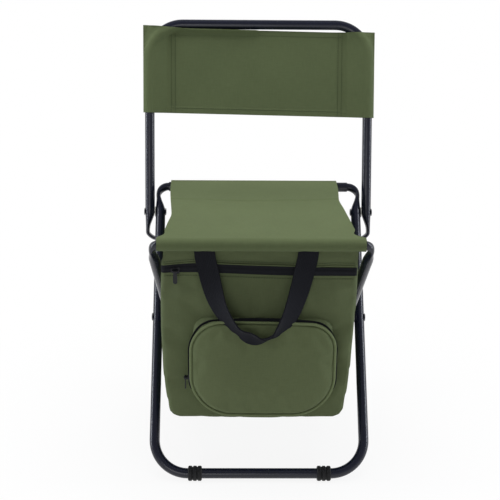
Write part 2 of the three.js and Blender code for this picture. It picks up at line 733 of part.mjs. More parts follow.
// A zip slider facing -Y: a shield-shaped body with a bar on two legs, and a pull hung on that bar.
// Its zip runs along X or, where it is upright, along Z, and the pull hangs down either way.
function addZipSlider(parent, name, x, y, z, turn, upright) {
  const assembly = new THREE.Group();
  assembly.position.set(x, y, z);
  assembly.rotation.z = turn;
  parent.add(assembly);
  const half = sliderLength / 2;
  const wide = sliderWidth / 2;
  const nose = sliderNose / 2;
  const shield = new THREE.Shape();
  shield.moveTo(-half, -nose);
  shield.lineTo(0, -wide);
  shield.lineTo(half, -wide);
  shield.lineTo(half, wide);
  shield.lineTo(0, wide);
  shield.lineTo(-half, nose);
  const body = plate(shield, -sliderThickness, sliderThickness).rotateY(upright ? Math.PI / 2 : 0);
  const barY = -sliderThickness - crownRise;
  const legX = (pullKnuckle + crownLeg) / 2 + fitGap;
  const bar = rodX(2 * legX + crownLeg, crownBar / 2, 0, barY, 0, 10);
  const legDepth = crownRise + crownBar / 2 + crownSink;
  const legs = [-1, 1].map((side) =>
    new THREE.BoxGeometry(crownLeg, legDepth, crownLegHeight).translate(
      side * legX,
      barY - crownBar / 2 + legDepth / 2,
      0,
    ),
  );
  addPiece(assembly, name + "_slider", join(body, bar, ...legs), "zipMetal");
  const bore = crownBar / 2 + fitGap;
  const knuckle = pipeX(pullKnuckle, bore + knuckleWall, bore, 10).translate(0, barY, 0);
  const tab = new THREE.Shape();
  const neckTop = -bore - knuckleWall / 3;
  tab.moveTo(-pullKnuckle / 2, neckTop);
  tab.lineTo(-pullKnuckle / 2, -pullNeck);
  tab.lineTo(-pullWidth / 2, -pullShoulder);
  tab.lineTo(-pullWidth / 2, -pullLength + pullWidth / 2);
  tab.absarc(0, -pullLength + pullWidth / 2, pullWidth / 2, Math.PI, 2 * Math.PI, false);
  tab.lineTo(pullWidth / 2, -pullShoulder);
  tab.lineTo(pullKnuckle / 2, -pullNeck);
  tab.lineTo(pullKnuckle / 2, neckTop);
  const tabPlate = plate(tab, barY - pullThickness / 2, pullThickness);
  addPiece(assembly, name + "_pull", join(knuckle, tabPlate), "zipMetal");
}

addZipSlider(bag, "main_zip", mainSliderX, zipFace - fitGap, mainZipHeight, 0, false);
const tapeFace = -zipCornerX - tapeOuter - fitGap;
const tapeMiddle = tapeFront + pocketZipWidth / 2;
addZipSlider(pocket, "pocket_zip", tapeFace, tapeMiddle, -pocketSliderDrop, -Math.PI / 2, true);

// Carry handle: flat webbing from under the front sleeve, out over the pocket and back.
const handleTop = railHeight - sleeveRadius - handleThickness / 2 - fitGap;
const handleBack = bagFront - fitGap - handleThickness / 2;
const handleMiddle = (handleLeftX + handleRightX) / 2;
const handleHalf = (handleRightX - handleLeftX) / 2;
const handleSteps = 24;
const handlePath = Array.from({ length: handleSteps + 1 }, (_, i) => {
  const t = -1 + (2 * i) / handleSteps;
  const fall = 1 - Math.abs(t) ** handleDip;
  const x = handleMiddle + handleHalf * Math.sign(t) * Math.abs(t) ** handleSpread;
  return new THREE.Vector3(x, handleBack - handleSwell * fall ** handleLean, handleTop - handleDrop * fall);
});
const handleRings = handlePath.map((p, i) => {
  const before = handlePath[Math.max(i - 1, 0)];
  const after = handlePath[Math.min(i + 1, handleSteps)];
  const along = after.clone().sub(before).normalize();
  const sewnEnd = i === 0 || i === handleSteps;
  const across = new THREE.Vector3(-along.z, 0, sewnEnd ? 0 : along.x).normalize();
  const out = new THREE.Vector3().crossVectors(along, across).normalize();
  const end = Math.abs((2 * i) / handleSteps - 1);
  across.multiplyScalar((handleBottomWidth + (handleWidth - handleBottomWidth) * end) / 2);
  out.multiplyScalar(handleThickness / 2);
  const corner = (a, b) => p.clone().addScaledVector(across, a).addScaledVector(out, b);
  return [corner(-1, -1), corner(1, -1), corner(1, 1), corner(-1, 1)];
});
addPiece(bag, "carry_handle", loft(handleRings), "webbing");

// The origin is on the floor, in the middle of the stool's width and depth.
const reach = new THREE.Box3().setFromObject(stool, true);
stool.position.y = -(reach.min.y + reach.max.y) / 2;

export default stool;
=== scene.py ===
import math
import bpy
import numpy as np
from mathutils import Matrix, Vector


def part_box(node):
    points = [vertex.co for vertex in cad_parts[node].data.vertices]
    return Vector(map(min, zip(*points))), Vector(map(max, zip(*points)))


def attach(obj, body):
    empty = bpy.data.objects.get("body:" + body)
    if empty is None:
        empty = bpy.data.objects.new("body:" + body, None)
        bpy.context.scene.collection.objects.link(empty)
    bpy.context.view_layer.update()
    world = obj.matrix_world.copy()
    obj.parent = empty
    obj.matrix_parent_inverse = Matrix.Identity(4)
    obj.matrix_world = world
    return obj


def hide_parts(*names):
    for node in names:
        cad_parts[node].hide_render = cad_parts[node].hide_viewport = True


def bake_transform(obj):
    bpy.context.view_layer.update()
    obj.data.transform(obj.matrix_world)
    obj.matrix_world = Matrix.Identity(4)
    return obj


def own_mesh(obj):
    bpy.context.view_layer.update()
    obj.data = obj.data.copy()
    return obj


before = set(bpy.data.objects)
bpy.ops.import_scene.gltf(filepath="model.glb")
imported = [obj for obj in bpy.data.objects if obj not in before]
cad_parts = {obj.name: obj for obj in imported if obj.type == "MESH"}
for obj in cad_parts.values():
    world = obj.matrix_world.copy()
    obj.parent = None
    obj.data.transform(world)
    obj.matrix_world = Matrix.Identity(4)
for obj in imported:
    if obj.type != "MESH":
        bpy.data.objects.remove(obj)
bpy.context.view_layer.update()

# The stool is worked out in millimetres about the plane of its leg pivots, then put in the frame in metres.
pivotLow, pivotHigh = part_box("leg_rivet_left")
pivotY = (pivotLow.y + pivotHigh.y) / 2
pivotZ = (pivotLow.z + pivotHigh.z) * 500


def inFrame(points):
    return np.asarray(points, float).reshape(-1, 3) * 0.001 + np.array([0, pivotY, 0])


def smooth(t):
    # smoothstep, 3t^2 - 2t^3 between 0 and 1
    t = np.clip(t, 0, 1)
    return t * t * (3 - 2 * t)


def through(stops, at):
    # cubic through (place, value) stops, each stop's slope taken from its neighbours
    x, y = np.array(stops, float).T
    at = np.asarray(at, float)
    slope = np.gradient(y, x)
    k = np.clip(np.searchsorted(x, at) - 1, 0, len(x) - 2)
    h = x[k + 1] - x[k]
    t = np.clip((at - x[k]) / h, 0, 1)
    low = (1 + 2 * t) * (1 - t) ** 2 * y[k] + t * (1 - t) ** 2 * h * slope[k]
    return low + t * t * (3 - 2 * t) * y[k + 1] + t * t * (t - 1) * h * slope[k + 1]


def lengthAlong(path):
    # running length of a polyline
    return np.concatenate([[0], np.cumsum(np.linalg.norm(np.diff(path, axis=0), axis=1))])


def resampled(path, count, closed=False):
    # the same polyline with evenly spaced points
    path = np.vstack([path, path[:1]]) if closed else np.asarray(path, float)
    run = lengthAlong(path)
    at = np.linspace(0, run[-1], count, endpoint=not closed)
    return np.stack([np.interp(at, run, path[:, k]) for k in range(path.shape[1])], -1)


def unit(vectors):
    # each vector divided by its length
    return vectors / np.linalg.norm(vectors, axis=-1, keepdims=True)


def laidOut(u, v, shape):
    # a place on the flat cloth for each point of a grid
    return np.stack([np.broadcast_to(u, shape), np.broadcast_to(v, shape)], -1)


def line(a, b, count):
    return np.linspace(a, b, count, endpoint=False)


def arc(centre, radius, start, end, count):
    turn = np.radians(np.linspace(start, end, count, endpoint=False))
    return np.array(centre) + radius * np.stack([np.cos(turn), np.sin(turn)], -1)


def waves(a, b, seed, count=7, short=14.0, long=60.0):
    # ripples of slack cloth: a sum of sine waves of random direction and length over two coordinates
    pick = np.random.default_rng(seed)
    total = np.zeros(np.broadcast(a, b).shape)
    for angle, size, phase in zip(pick.uniform(0, np.pi, count), pick.uniform(short, long, count), pick.uniform(0, 6.3, count)):
        total = total + np.sin((a * np.cos(angle) + b * np.sin(angle)) * 2 * np.pi / size + phase) / count
    return total


# Looks

def toLinear(colour):
    # sRGB hex to linear, by the standard transfer curve
    value = np.array([int(colour[i:i + 2], 16) for i in (1, 3, 5)]) / 255
    value = np.where(value <= 0.04045, value / 12.92, ((value + 0.055) / 1.055) ** 2.4)
    return (*value.tolist(), 1.0)


def addNode(material, kind, settings=None, links=None):
    # one shader node: settings go to its properties, or else to the inputs of that name or number
    node = material.node_tree.nodes.new("ShaderNode" + kind)
    for key, value in (settings or {}).items():
        if isinstance(key, str) and hasattr(node, key):
            setattr(node, key, value)
        else:
            node.inputs[key].default_value = value
    for key, source in (links or {}).items():
        material.node_tree.links.new(source, node.inputs[key])
    return node


def newMaterial(name):
    material = bpy.data.materials.new(name)
    material.use_nodes = True
    return material, material.node_tree.nodes["Principled BSDF"]


def wovenCloth(name, look):
    # 600-denier polyester, plain weave, coated behind: dull, streaked along its threads, with hardly any gloss
    material, shader = newMaterial(name)
    link = material.node_tree.links.new
    place = addNode(material, "UVMap", {"uv_map": "cloth"})
    perMetre = 1000 / look["thread"]
    warp = addNode(material, "TexWave", {"bands_direction": "X", "Scale": perMetre * np.pi / 10}, {"Vector": place.outputs[0]})
    weft = addNode(material, "TexWave", {"bands_direction": "Y", "Scale": perMetre * np.pi / 10}, {"Vector": place.outputs[0]})
    over = addNode(material, "TexChecker", {"Scale": perMetre}, {"Vector": place.outputs[0]})
    weave = addNode(material, "Mix", {}, {0: over.outputs["Fac"], 2: warp.outputs["Fac"], 3: weft.outputs["Fac"]})
    # slubs: thick and thin places 1.6 mm wide and 14 mm long, along and across
    upright = addNode(material, "Mapping", {"Scale": (1000 / 1.6, 1000 / 14, 1)}, {"Vector": place.outputs[0]})
    level = addNode(material, "Mapping", {"Scale": (1000 / 14, 1000 / 1.6, 1)}, {"Vector": place.outputs[0]})
    slubUp = addNode(material, "TexNoise", {"Scale": 1.0, "Detail": 2.0}, {"Vector": upright.outputs[0]})
    slubLevel = addNode(material, "TexNoise", {"Scale": 1.0, "Detail": 2.0}, {"Vector": level.outputs[0]})
    slub = addNode(material, "Mix", {0: 0.5}, {2: slubUp.outputs["Fac"], 3: slubLevel.outputs["Fac"]})
    # dye and handling: cloudy patches about 60 mm across
    body = addNode(material, "TexCoord")
    cloud = addNode(material, "TexNoise", {"Scale": 1000 / 60, "Detail": 3.0}, {"Vector": body.outputs["Object"]})
    heather = addNode(material, "MapRange", {"From Min": 0.25, "From Max": 0.75}, {"Value": slub.outputs[0]})
    yarn = addNode(material, "Mix", {"data_type": "RGBA", 6: toLinear(look["dark"]), 7: toLinear(look["light"])}, {0: heather.outputs[0]})
    thread = addNode(material, "MapRange", {"To Min": 0.9, "To Max": 1.07}, {"Value": weave.outputs[0]})
    patch = addNode(material, "MapRange", {"From Min": 0.3, "From Max": 0.7, "To Min": 0.97, "To Max": 1.03}, {"Value": cloud.outputs["Fac"]})
    tone = addNode(material, "Math", {"operation": "MULTIPLY"}, {0: thread.outputs[0], 1: patch.outputs[0]})
    colour = addNode(material, "VectorMath", {"operation": "SCALE"}, {0: yarn.outputs[2], "Scale": tone.outputs[0]})
    relief = addNode(material, "Math", {"operation": "MULTIPLY_ADD", 1: 0.6}, {0: slub.outputs[0], 2: weave.outputs[0]})
    bump = addNode(material, "Bump", {"Strength": look["bump"], "Distance": 0.0004}, {"Height": relief.outputs[0]})
    link(colour.outputs[0], shader.inputs["Base Color"])
    link(bump.outputs[0], shader.inputs["Normal"])
    shader.inputs["Roughness"].default_value = look["roughness"]
    shader.inputs["Sheen Weight"].default_value = look["sheen"]
    shader.inputs["Sheen Roughness"].default_value = 0.5
    shader.inputs["Specular IOR Level"].default_value = 0.12
    return material


def ribbedWebbing(name, look):
    # polypropylene webbing or zip tape: lengthwise ribs crossed by slanting picks, almost matt
    material, shader = newMaterial(name)
    link = material.node_tree.links.new
    place = addNode(material, "UVMap", {"uv_map": "cloth"})
    ribs = addNode(material, "TexWave", {"bands_direction": "X", "Scale": 1000 / look["rib"] * np.pi / 10}, {"Vector": place.outputs[0]})
    picks = addNode(material, "TexWave", {"bands_direction": "DIAGONAL", "Scale": 1000 / look["pick"] * np.pi / 10}, {"Vector": place.outputs[0]})
    height = addNode(material, "Math", {"operation": "MULTIPLY_ADD", 1: 0.5}, {0: picks.outputs["Fac"], 2: ribs.outputs["Fac"]})
    colour = addNode(material, "Mix", {"data_type": "RGBA", 6: toLinear(look["dark"]), 7: toLinear(look["light"])}, {0: height.outputs[0]})
    bump = addNode(material, "Bump", {"Strength": look["bump"], "Distance": 0.0004}, {"Height": height.outputs[0]})
    link(colour.outputs[2], shader.inputs["Base Color"])
    link(bump.outputs[0], shader.inputs["Normal"])
    shader.inputs["Roughness"].default_value = look["roughness"]
    shader.inputs["Sheen Weight"].default_value = look["sheen"]
    shader.inputs["Specular IOR Level"].default_value = 0.15
    return material


def coated(name, look):
    # sprayed or moulded finish: a fine grain in the relief and broad drifts of gloss
    material, shader = newMaterial(name)
    link = material.node_tree.links.new
    body = addNode(material, "TexCoord")
    grain = addNode(material, "TexNoise", {"Scale": 1000 / look["grain"], "Detail": 2.0}, {"Vector": body.outputs["Object"]})
    drift = addNode(material, "TexNoise", {"Scale": 1000 / 35, "Detail": 3.0}, {"Vector": body.outputs["Object"]})
    colour = addNode(material, "Mix", {"data_type": "RGBA", 6: toLinear(look["dark"]), 7: toLinear(look["light"])}, {0: drift.outputs["Fac"]})
    gloss = addNode(material, "MapRange", {"From Min": 0.3, "From Max": 0.7, "To Min": look["roughness"] - 0.05, "To Max": look["roughness"] + 0.06}, {"Value": drift.outputs["Fac"]})
    bump = addNode(material, "Bump", {"Strength": look["bump"], "Distance": 0.0003}, {"Height": grain.outputs["Fac"]})
    link(colour.outputs[2], shader.inputs["Base Color"])
    link(gloss.outputs[0], shader.inputs["Roughness"])
    link(bump.outputs[0], shader.inputs["Normal"])
    shader.inputs["Metallic"].default_value = look.get("metallic", 0.0)
    shader.inputs["Specular IOR Level"].default_value = look.get("specular", 0.5)
    return material


# threads are 0.55 mm apart on the real cloth, and drawn at 1.2 mm so that they show
clothLook = dict(thread=1.2, bump=0.3, roughness=0.85, sheen=0.02)
# painted light: the seat's copy of the cloth is toned a little darker and the bag's a little lighter, for the overhead
# light that falls more on the level seat than on the upright bag
seatCloth = wovenCloth("polyesterSeatCloth", dict(clothLook, dark="#5b6546", light="#626d4c"))
bagCloth = wovenCloth("polyesterBagCloth", dict(clothLook, dark="#5d6648", light="#636d4d"))
# painted light: the pocket's cloth is a lighter copy of the bag cloth, for the overhead light that falls on the pocket
# more than on the bag face
pocketClothPaintedLighter = wovenCloth("polyesterClothPaintedLighter", dict(clothLook, dark="#606a4a", light="#677150"))
pipingCloth = wovenCloth("pipingCloth", dict(dark="#67724f", light="#75805c", thread=0.9, bump=0.2, roughness=0.8, sheen=0.02))
# the thread is darker than the cloth, partly its own colour and partly painted shade for the dark line along each seam
threadCloth = wovenCloth("polyesterThread", dict(dark="#434b35", light="#4e583f", thread=0.5, bump=0.2, roughness=0.65, sheen=0.02))
webbing = ribbedWebbing("polypropyleneWebbing", dict(dark="#101116", light="#1c1d23", rib=2.4, pick=1.8, bump=0.6, roughness=0.8, sheen=0.02))
zipTape = ribbedWebbing("zipTape", dict(dark="#0f1014", light="#18191e", rib=1.2, pick=1.2, bump=0.3, roughness=0.75, sheen=0.02))
# powder coat: blue-black and half gloss, with a faint orange peel about 1.5 mm across
powderCoat = coated("powderCoatedSteel", dict(dark="#0b0f1f", light="#101427", grain=1.5, bump=0.1, roughness=0.22, specular=0.45))
rivetSteel = coated("blackPlatedRivetSteel", dict(dark="#34363c", light="#44464d", grain=0.8, bump=0.1, roughness=0.36, metallic=0.8))
footRubber = coated("mouldedRubber", dict(dark="#0d0d0f", light="#141416", grain=0.6, bump=0.25, roughness=0.6, specular=0.3))
washerNylon = coated("naturalNylon", dict(dark="#a9a8a2", light="#bbbab3", grain=0.7, bump=0.1, roughness=0.45))
zipEnamel = coated("enamelledZinc", dict(dark="#111217", light="#1a1b21", grain=0.5, bump=0.08, roughness=0.38, specular=0.28))
linerFoil = coated("aluminisedFilm", dict(dark="#b9bcc0", light="#d4d7da", grain=6.0, bump=0.9, roughness=0.3, metallic=0.9))
print("materials ready")


# Meshes

def gridFaces(rows, columns, wrapRows=False, wrapColumns=False):
    i, j = np.meshgrid(np.arange(rows - (not wrapRows)), np.arange(columns - (not wrapColumns)), indexing="ij")
    k, m = (i + 1) % rows, (j + 1) % columns
    return np.stack([i * columns + j, i * columns + m, k * columns + m, k * columns + j], -1).reshape(-1, 4)


def addPiece(name, points, faces, material, uv=None, sharp=40.0):
    # a closed mesh, turned outwards by the sign of the volume that its faces enclose
    points = inFrame(points)
    faces = [np.asarray(face, int) for face in faces]
    fans = np.concatenate([np.stack([np.full(len(f) - 2, f[0]), f[1:-1], f[2:]], -1) for f in faces])
    a, b, c = (points[fans[:, k]] - points.mean(0) for k in range(3))
    if (a * np.cross(b, c)).sum() < 0:
        faces = [face[::-1] for face in faces]
    mesh = bpy.data.meshes.new(name)
    mesh.from_pydata(points.tolist(), [], [face.tolist() for face in faces])
    mesh.polygons.foreach_set("use_smooth", np.ones(len(mesh.polygons), bool))
    if uv is not None:
        corner = np.zeros(len(mesh.loops), np.int32)
        mesh.loops.foreach_get("vertex_index", corner)
        if isinstance(uv, str):  # box: each face is laid out along the two axes that it faces least
            sizes, normals = np.zeros(len(mesh.polygons), np.int32), np.zeros(len(mesh.polygons) * 3)
            mesh.polygons.foreach_get("loop_total", sizes)
            mesh.polygons.foreach_get("normal", normals)
            facing = np.repeat(np.abs(normals.reshape(-1, 3)).argmax(1), sizes)
            onCloth = np.take_along_axis(points[corner], np.array([[1, 2], [0, 2], [0, 1]])[facing], 1)
        else:
            onCloth = (np.asarray(uv, float).reshape(-1, 2) * 0.001)[corner]
        layer = mesh.uv_layers.new(name="cloth")
        layer.data.foreach_set("uv", onCloth.ravel())
    mesh.set_sharp_from_angle(angle=math.radians(sharp))
    mesh.materials.append(material)
    piece = bpy.data.objects.new(name, mesh)
    bpy.context.scene.collection.objects.link(piece)
    return piece


def finished(piece, body, slot, *nodes):
    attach(piece, body)
    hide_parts(*nodes)
    return piece


def repaint(node, material):
    # a CAD node that stays as it is gets its look
    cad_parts[node].data.materials.clear()
    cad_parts[node].data.materials.append(material)


def tubeSkin(rings):
    # rings of equal count joined along a path, with the two ends closed
    rows, columns = rings.shape[:2]
    last = (rows - 1) * columns
    return [*gridFaces(rows, columns, wrapColumns=True), np.arange(columns), last + np.arange(columns)]


def slabSkin(top, thickness):
    # a sheet of cloth: its outer face, and the same face moved back along its normals by the thickness
    alongRows, alongColumns = np.gradient(top, axis=0), np.gradient(top, axis=1)
    normal = np.cross(alongColumns, alongRows)
    normal /= np.linalg.norm(normal, axis=-1, keepdims=True)
    back = top - normal * (np.asarray(thickness)[..., None] if np.ndim(thickness) else thickness)
    rings = np.concatenate([top, back[:, ::-1]], 1)
    rows, columns = top.shape[:2]
    k = np.arange(columns - 1)
    ends = np.concatenate([base * 2 * columns + np.stack([k, k + 1, 2 * columns - 2 - k, 2 * columns - 1 - k], -1) for base in (0, rows - 1)])
    return rings, np.concatenate([gridFaces(rows, 2 * columns, wrapColumns=True), ends])


def slabUv(uv):
    return np.concatenate([uv, uv[:, ::-1]], 1)


def leaned(local, angle, y=0.0, z=None):
    # points of a flat frame (across, depth, along) leaned back by an angle about X at a pivot
    c, s = math.cos(math.radians(angle)), math.sin(math.radians(angle))
    x, depth, run = np.moveaxis(np.asarray(local, float), -1, 0)
    return np.stack([x, y + depth * c + run * s, (pivotZ if z is None else z) - depth * s + run * c], -1)


def turned(profile, x, y, z, sides=40):
    # a profile of (along X, radius) points revolved about the X axis through a point
    turn = np.linspace(0, 2 * np.pi, sides, endpoint=False)
    along, radius = np.asarray(profile, float).T
    ring = np.stack([np.broadcast_to((x + along)[:, None], (len(along), sides)), y + radius[:, None] * np.cos(turn), z + radius[:, None] * np.sin(turn)], -1)
    return ring


def coordinates(mesh):
    flat = np.zeros(len(mesh.vertices) * 3)
    mesh.vertices.foreach_get("co", flat)
    return flat.reshape(-1, 3) * 1000


def swelled(points, faces, held, look):
    # the closed form is remeshed in even squares and blown up by cloth pressure; held points stay, none passes the cap
    scene = bpy.context.scene
    mesh = bpy.data.meshes.new("clothStart")
    mesh.from_pydata((np.asarray(points).reshape(-1, 3) * 0.001).tolist(), [], [np.asarray(face).tolist() for face in faces])
    start = bpy.data.objects.new("clothStart", mesh)
    scene.collection.objects.link(start)
    remesh = start.modifiers.new("even", "REMESH")
    remesh.mode = "VOXEL"
    remesh.voxel_size = look["voxel"] * 0.001
    even = bpy.data.meshes.new_from_object(start.evaluated_get(bpy.context.evaluated_depsgraph_get()))
    bpy.data.objects.remove(start)
    before = coordinates(even)
    squares = [list(face.vertices) for face in even.polygons]
    cloth = bpy.data.objects.new("clothEven", even)
    scene.collection.objects.link(cloth)
    cloth.vertex_groups.new(name="held").add(np.flatnonzero(held(*before.T)).tolist(), 1.0, "REPLACE")
    settings = cloth.modifiers.new("cloth", "CLOTH").settings
    settings.vertex_group_mass = "held"
    settings.use_pressure = True
    settings.uniform_pressure_force = look["pressure"]
    settings.shrink_min = -look["slack"]
    settings.effector_weights.gravity = 0
    settings.quality = 6
    settings.bending_stiffness = look["stiff"]
    for step in range(1, look["steps"] + 1):
        scene.frame_set(step)
    worn = cloth.evaluated_get(bpy.context.evaluated_depsgraph_get())
    move = coordinates(worn.data) - before
    far = np.linalg.norm(move, axis=1, keepdims=True)
    after = before + move * np.minimum(1, look["cap"] / np.maximum(far, 1e-6))
    bpy.data.objects.remove(cloth)
    scene.frame_set(1)
    print("cloth moved", round(float(far.mean()), 2), "mm on average, most", round(float(far.max()), 2), "mm,", len(before), "points")
    return after, squares


def rounded(piece):
    piece.modifiers.new("round", "SUBSURF")
    piece.modifiers["round"].levels = piece.modifiers["round"].render_levels = 1
    return piece


# Camera at the photograph's viewing angle: place, back axis and a slight roll

view = dict(target=(-14.21, -6.76, 305.12), distance=1747.28, elevation=19.71, yaw=-0.9, roll=0.498, focal=1170.57, frame=500)
a, e, r = (math.radians(view[k]) for k in ("yaw", "elevation", "roll"))
back = np.array([math.sin(a) * math.cos(e), -math.cos(a) * math.cos(e), math.sin(e)])
right = np.array([math.cos(a), math.sin(a), 0])
up = np.cross(back, right)
right, up = right * math.cos(r) + up * math.sin(r), up * math.cos(r) - right * math.sin(r)
camera = bpy.data.objects.new("camera", bpy.data.cameras.new("camera"))
bpy.context.scene.collection.objects.link(camera)
place = inFrame(np.array(view["target"]) + back * view["distance"])[0]
camera.matrix_world = Matrix([[right[k], up[k], back[k], place[k]] for k in range(3)] + [[0, 0, 0, 1]])
camera.data.sensor_width = 36
camera.data.lens = view["focal"] / view["frame"] * 36
camera.data.clip_end = 50
bpy.context.scene.camera = camera
bpy.context.scene.view_settings.view_transform = "Standard"

# a large soft light overhead, a weak one in front, and a strip at each side that draws a streak along the tubes
studio = dict(top=44.0, front=9.0, strip=12.0, world=0.2, floor=0.8, clear=0.6, frontWall=0.35, ceiling=0.35)
for name, at, size, watts in (
    ("topLight", (0.0, 0.3, 2.3), (2.2, 1.8), studio["top"]),
    ("frontLight", (-0.7, -2.5, 0.6), (1.6, 1.0), studio["front"]),
    ("leftStrip", (-1.6, -0.1, 0.75), (0.2, 1.6), studio["strip"]),
    ("rightStrip", (1.6, -0.1, 0.75), (0.2, 1.6), studio["strip"]),
):
    lamp = bpy.data.lights.new(name, "AREA")
    lamp.shape = "RECTANGLE"
    lamp.size, lamp.size_y = size
    lamp.energy = watts
    lamp.color = (0.86, 0.91, 1.0) if name.endswith("Strip") else (1.0, 1.0, 1.0)
    holder = bpy.data.objects.new(name, lamp)
    bpy.context.scene.collection.objects.link(holder)
    holder.location = at
    holder.visible_glossy = name != "topLight"
    aim = np.array([0, 0, 0.3]) - np.array(at)
    holder.rotation_euler = (math.atan2(math.hypot(aim[0], aim[1]), -aim[2]), 0, math.atan2(-aim[0], aim[1]))


def seenDirectly(material, mirrored=None):
    # 1 for rays that show the surroundings: from the camera, in a reflection, or through something clear
    ray = addNode(material, "LightPath")
    glossy = ray.outputs["Is Glossy Ray"]
    if mirrored:
        glossy = addNode(material, "Math", {"operation": "MULTIPLY"}, {0: glossy, 1: mirrored}).outputs[0]
    seen = addNode(material, "Math", {"operation": "MAXIMUM"}, {0: ray.outputs["Is Camera Ray"], 1: glossy})
    return addNode(material, "Math", {"operation": "MAXIMUM"}, {0: seen.outputs[0], 1: ray.outputs["Is Transmission Ray"]}).outputs[0]


world = bpy.data.worlds.new("studioWorld")
world.use_nodes = True
bpy.context.scene.world = world
sky = world.node_tree.nodes["Background"]
# the room is white behind and beside the stool, greyer in front and above, so that dark paint keeps its contrast
toward = addNode(world, "SeparateXYZ", {}, {0: addNode(world, "TexCoord").outputs["Generated"]})
wall = addNode(world, "MapRange", {
    "interpolation_type": "SMOOTHSTEP", "From Min": -0.6, "From Max": 0.2, "To Min": studio["frontWall"], "To Max": 1.0,
}, {"Value": toward.outputs["Y"]})
ceiling = addNode(world, "MapRange", {
    "interpolation_type": "SMOOTHSTEP", "From Min": 0.2, "From Max": 0.75, "To Min": 1.0, "To Max": studio["ceiling"],
}, {"Value": toward.outputs["Z"]})
room = addNode(world, "Math", {"operation": "MULTIPLY"}, {0: wall.outputs[0], 1: ceiling.outputs[0]})
level = addNode(world, "MapRange", {"To Min": studio["world"], "To Max": 1.0}, {"Value": seenDirectly(world, room.outputs[0])})
sky.inputs["Color"].default_value = (1, 1, 1, 1)
world.node_tree.links.new(level.outputs[0], sky.inputs["Strength"])

# pale studio paper: it keeps the stool's shadow, and clears to plain white further out
floorPaper, paperShader = newMaterial("studioPaper")
paperShader.inputs["Base Color"].default_value = (studio["floor"],) * 3 + (1,)
paperShader.inputs["Roughness"].default_value = 0.95
paperShader.inputs["Specular IOR Level"].default_value = 0.0
where = addNode(floorPaper, "TexCoord")
away = addNode(floorPaper, "VectorMath", {"operation": "LENGTH"}, {0: where.outputs["Object"]})
clear = addNode(floorPaper, "MapRange", {
    "interpolation_type": "SMOOTHSTEP", "From Min": 0.15, "From Max": studio["clear"], "To Min": 0.9, "To Max": 1.0,
}, {"Value": away.outputs["Value"]})
share = addNode(floorPaper, "Math", {"operation": "MULTIPLY"}, {0: seenDirectly(floorPaper), 1: clear.outputs[0]})
glow = addNode(floorPaper, "Emission", {"Strength": 1.0})
mixed = addNode(floorPaper, "MixShader", {}, {0: share.outputs[0], 1: paperShader.outputs[0], 2: glow.outputs[0]})
floorPaper.node_tree.links.new(mixed.outputs[0], floorPaper.node_tree.nodes["Material Output"].inputs["Surface"])
floorMesh = bpy.data.meshes.new("floor")
floorMesh.from_pydata([(-8, -8, 0), (8, -8, 0), (8, 8, 0), (-8, 8, 0)], [], [(0, 1, 2, 3)])
floorMesh.materials.append(floorPaper)
floor = bpy.data.objects.new("floor", floorMesh)
bpy.context.scene.collection.objects.link(floor)
print("camera and light ready")


# Steel frame

tube = dict(radius=7.5, wall=1.0, sides=36, plugHalf=6.2)
legs = dict(lean=39.65, above=216.0, below=238.0, floorBend=50.0, railBend=16.0, plug=26.0, swagedDrop=42.0, swagedHalf=3.5, flareStart=32.0)


def pressedHalf(half):
    # half sizes of a tube end pressed to a half thickness: what it loses one way it gains the other way
    return half, math.sqrt(2 * tube["plugHalf"] ** 2 - half ** 2)


def bentTube(halfPath, stops):
    # an oval carried along a path in the plane (across, along), mirrored left to right; its half sizes follow the height
    left = halfPath[-2::-1] * [-1, 1]
    path = np.vstack([halfPath, left])
    along = unit(np.gradient(path, axis=0))
    heights = np.array([stop[0] for stop in stops])
    k = np.clip(np.searchsorted(heights, path[:, 1]) - 1, 0, len(stops) - 2)
    t = smooth((path[:, 1] - heights[k]) / (heights[k + 1] - heights[k]))[:, None]
    sizes = np.array([stop[1:] for stop in stops])
    inPlane, across = ((1 - t) * sizes[k] + t * sizes[k + 1]).T[:, :, None]
    turn = np.linspace(0, 2 * np.pi, tube["sides"], endpoint=False)
    side, depth = inPlane * np.cos(turn), across * np.sin(turn)
    return np.stack([path[:, :1] - along[:, 1:] * side, depth, path[:, 1:] + along[:, :1] * side], -1)


def legPath(topHalf, shoulderHalf, pivotHalf):
    top, bottom, bend, turnIn = legs["above"], -legs["below"], legs["floorBend"], legs["railBend"]
    return np.vstack([
        line((topHalf - turnIn - legs["plug"], top), (topHalf - turnIn, top), 4),
        arc((topHalf - turnIn, top - turnIn), turnIn, 90, 0, 16),
        line((topHalf, top - turnIn), (shoulderHalf, top - legs["swagedDrop"]), 12),
        line((shoulderHalf, top - legs["swagedDrop"]), (pivotHalf, legs["flareStart"]), 24),
        line((pivotHalf, legs["flareStart"]), (pivotHalf, bottom + bend), 24),
        arc((pivotHalf - bend, bottom + bend), bend, 0, -90, 30),
        line((pivotHalf - bend, bottom), (0, bottom), 12),
        [(0, bottom)],
    ])


swage = [
    (-legs["below"], tube["radius"], tube["radius"]),
    (legs["above"] - legs["swagedDrop"], tube["radius"], tube["radius"]),
    (legs["above"] - legs["railBend"], *pressedHalf(legs["swagedHalf"])),
    (legs["above"], tube["plugHalf"], tube["plugHalf"]),
]
rearHalf, frontHalf, backHalf = 137.6, 154.0, 170.6
for name, body, lean, halves in (
    ("rear_legs_tube", "rear_legs", -legs["lean"], (152.6, 149.68, rearHalf)),
    ("front_legs_tube", "front_legs", legs["lean"], (158.0, frontHalf, frontHalf)),
):
    rings = leaned(bentTube(legPath(*halves), swage), lean)
    piece = addPiece(name, rings, tubeSkin(rings), powderCoat)
    finished(piece, body, "painted_tube", "rear_leg_tube" if body == "rear_legs" else "front_leg_tube")

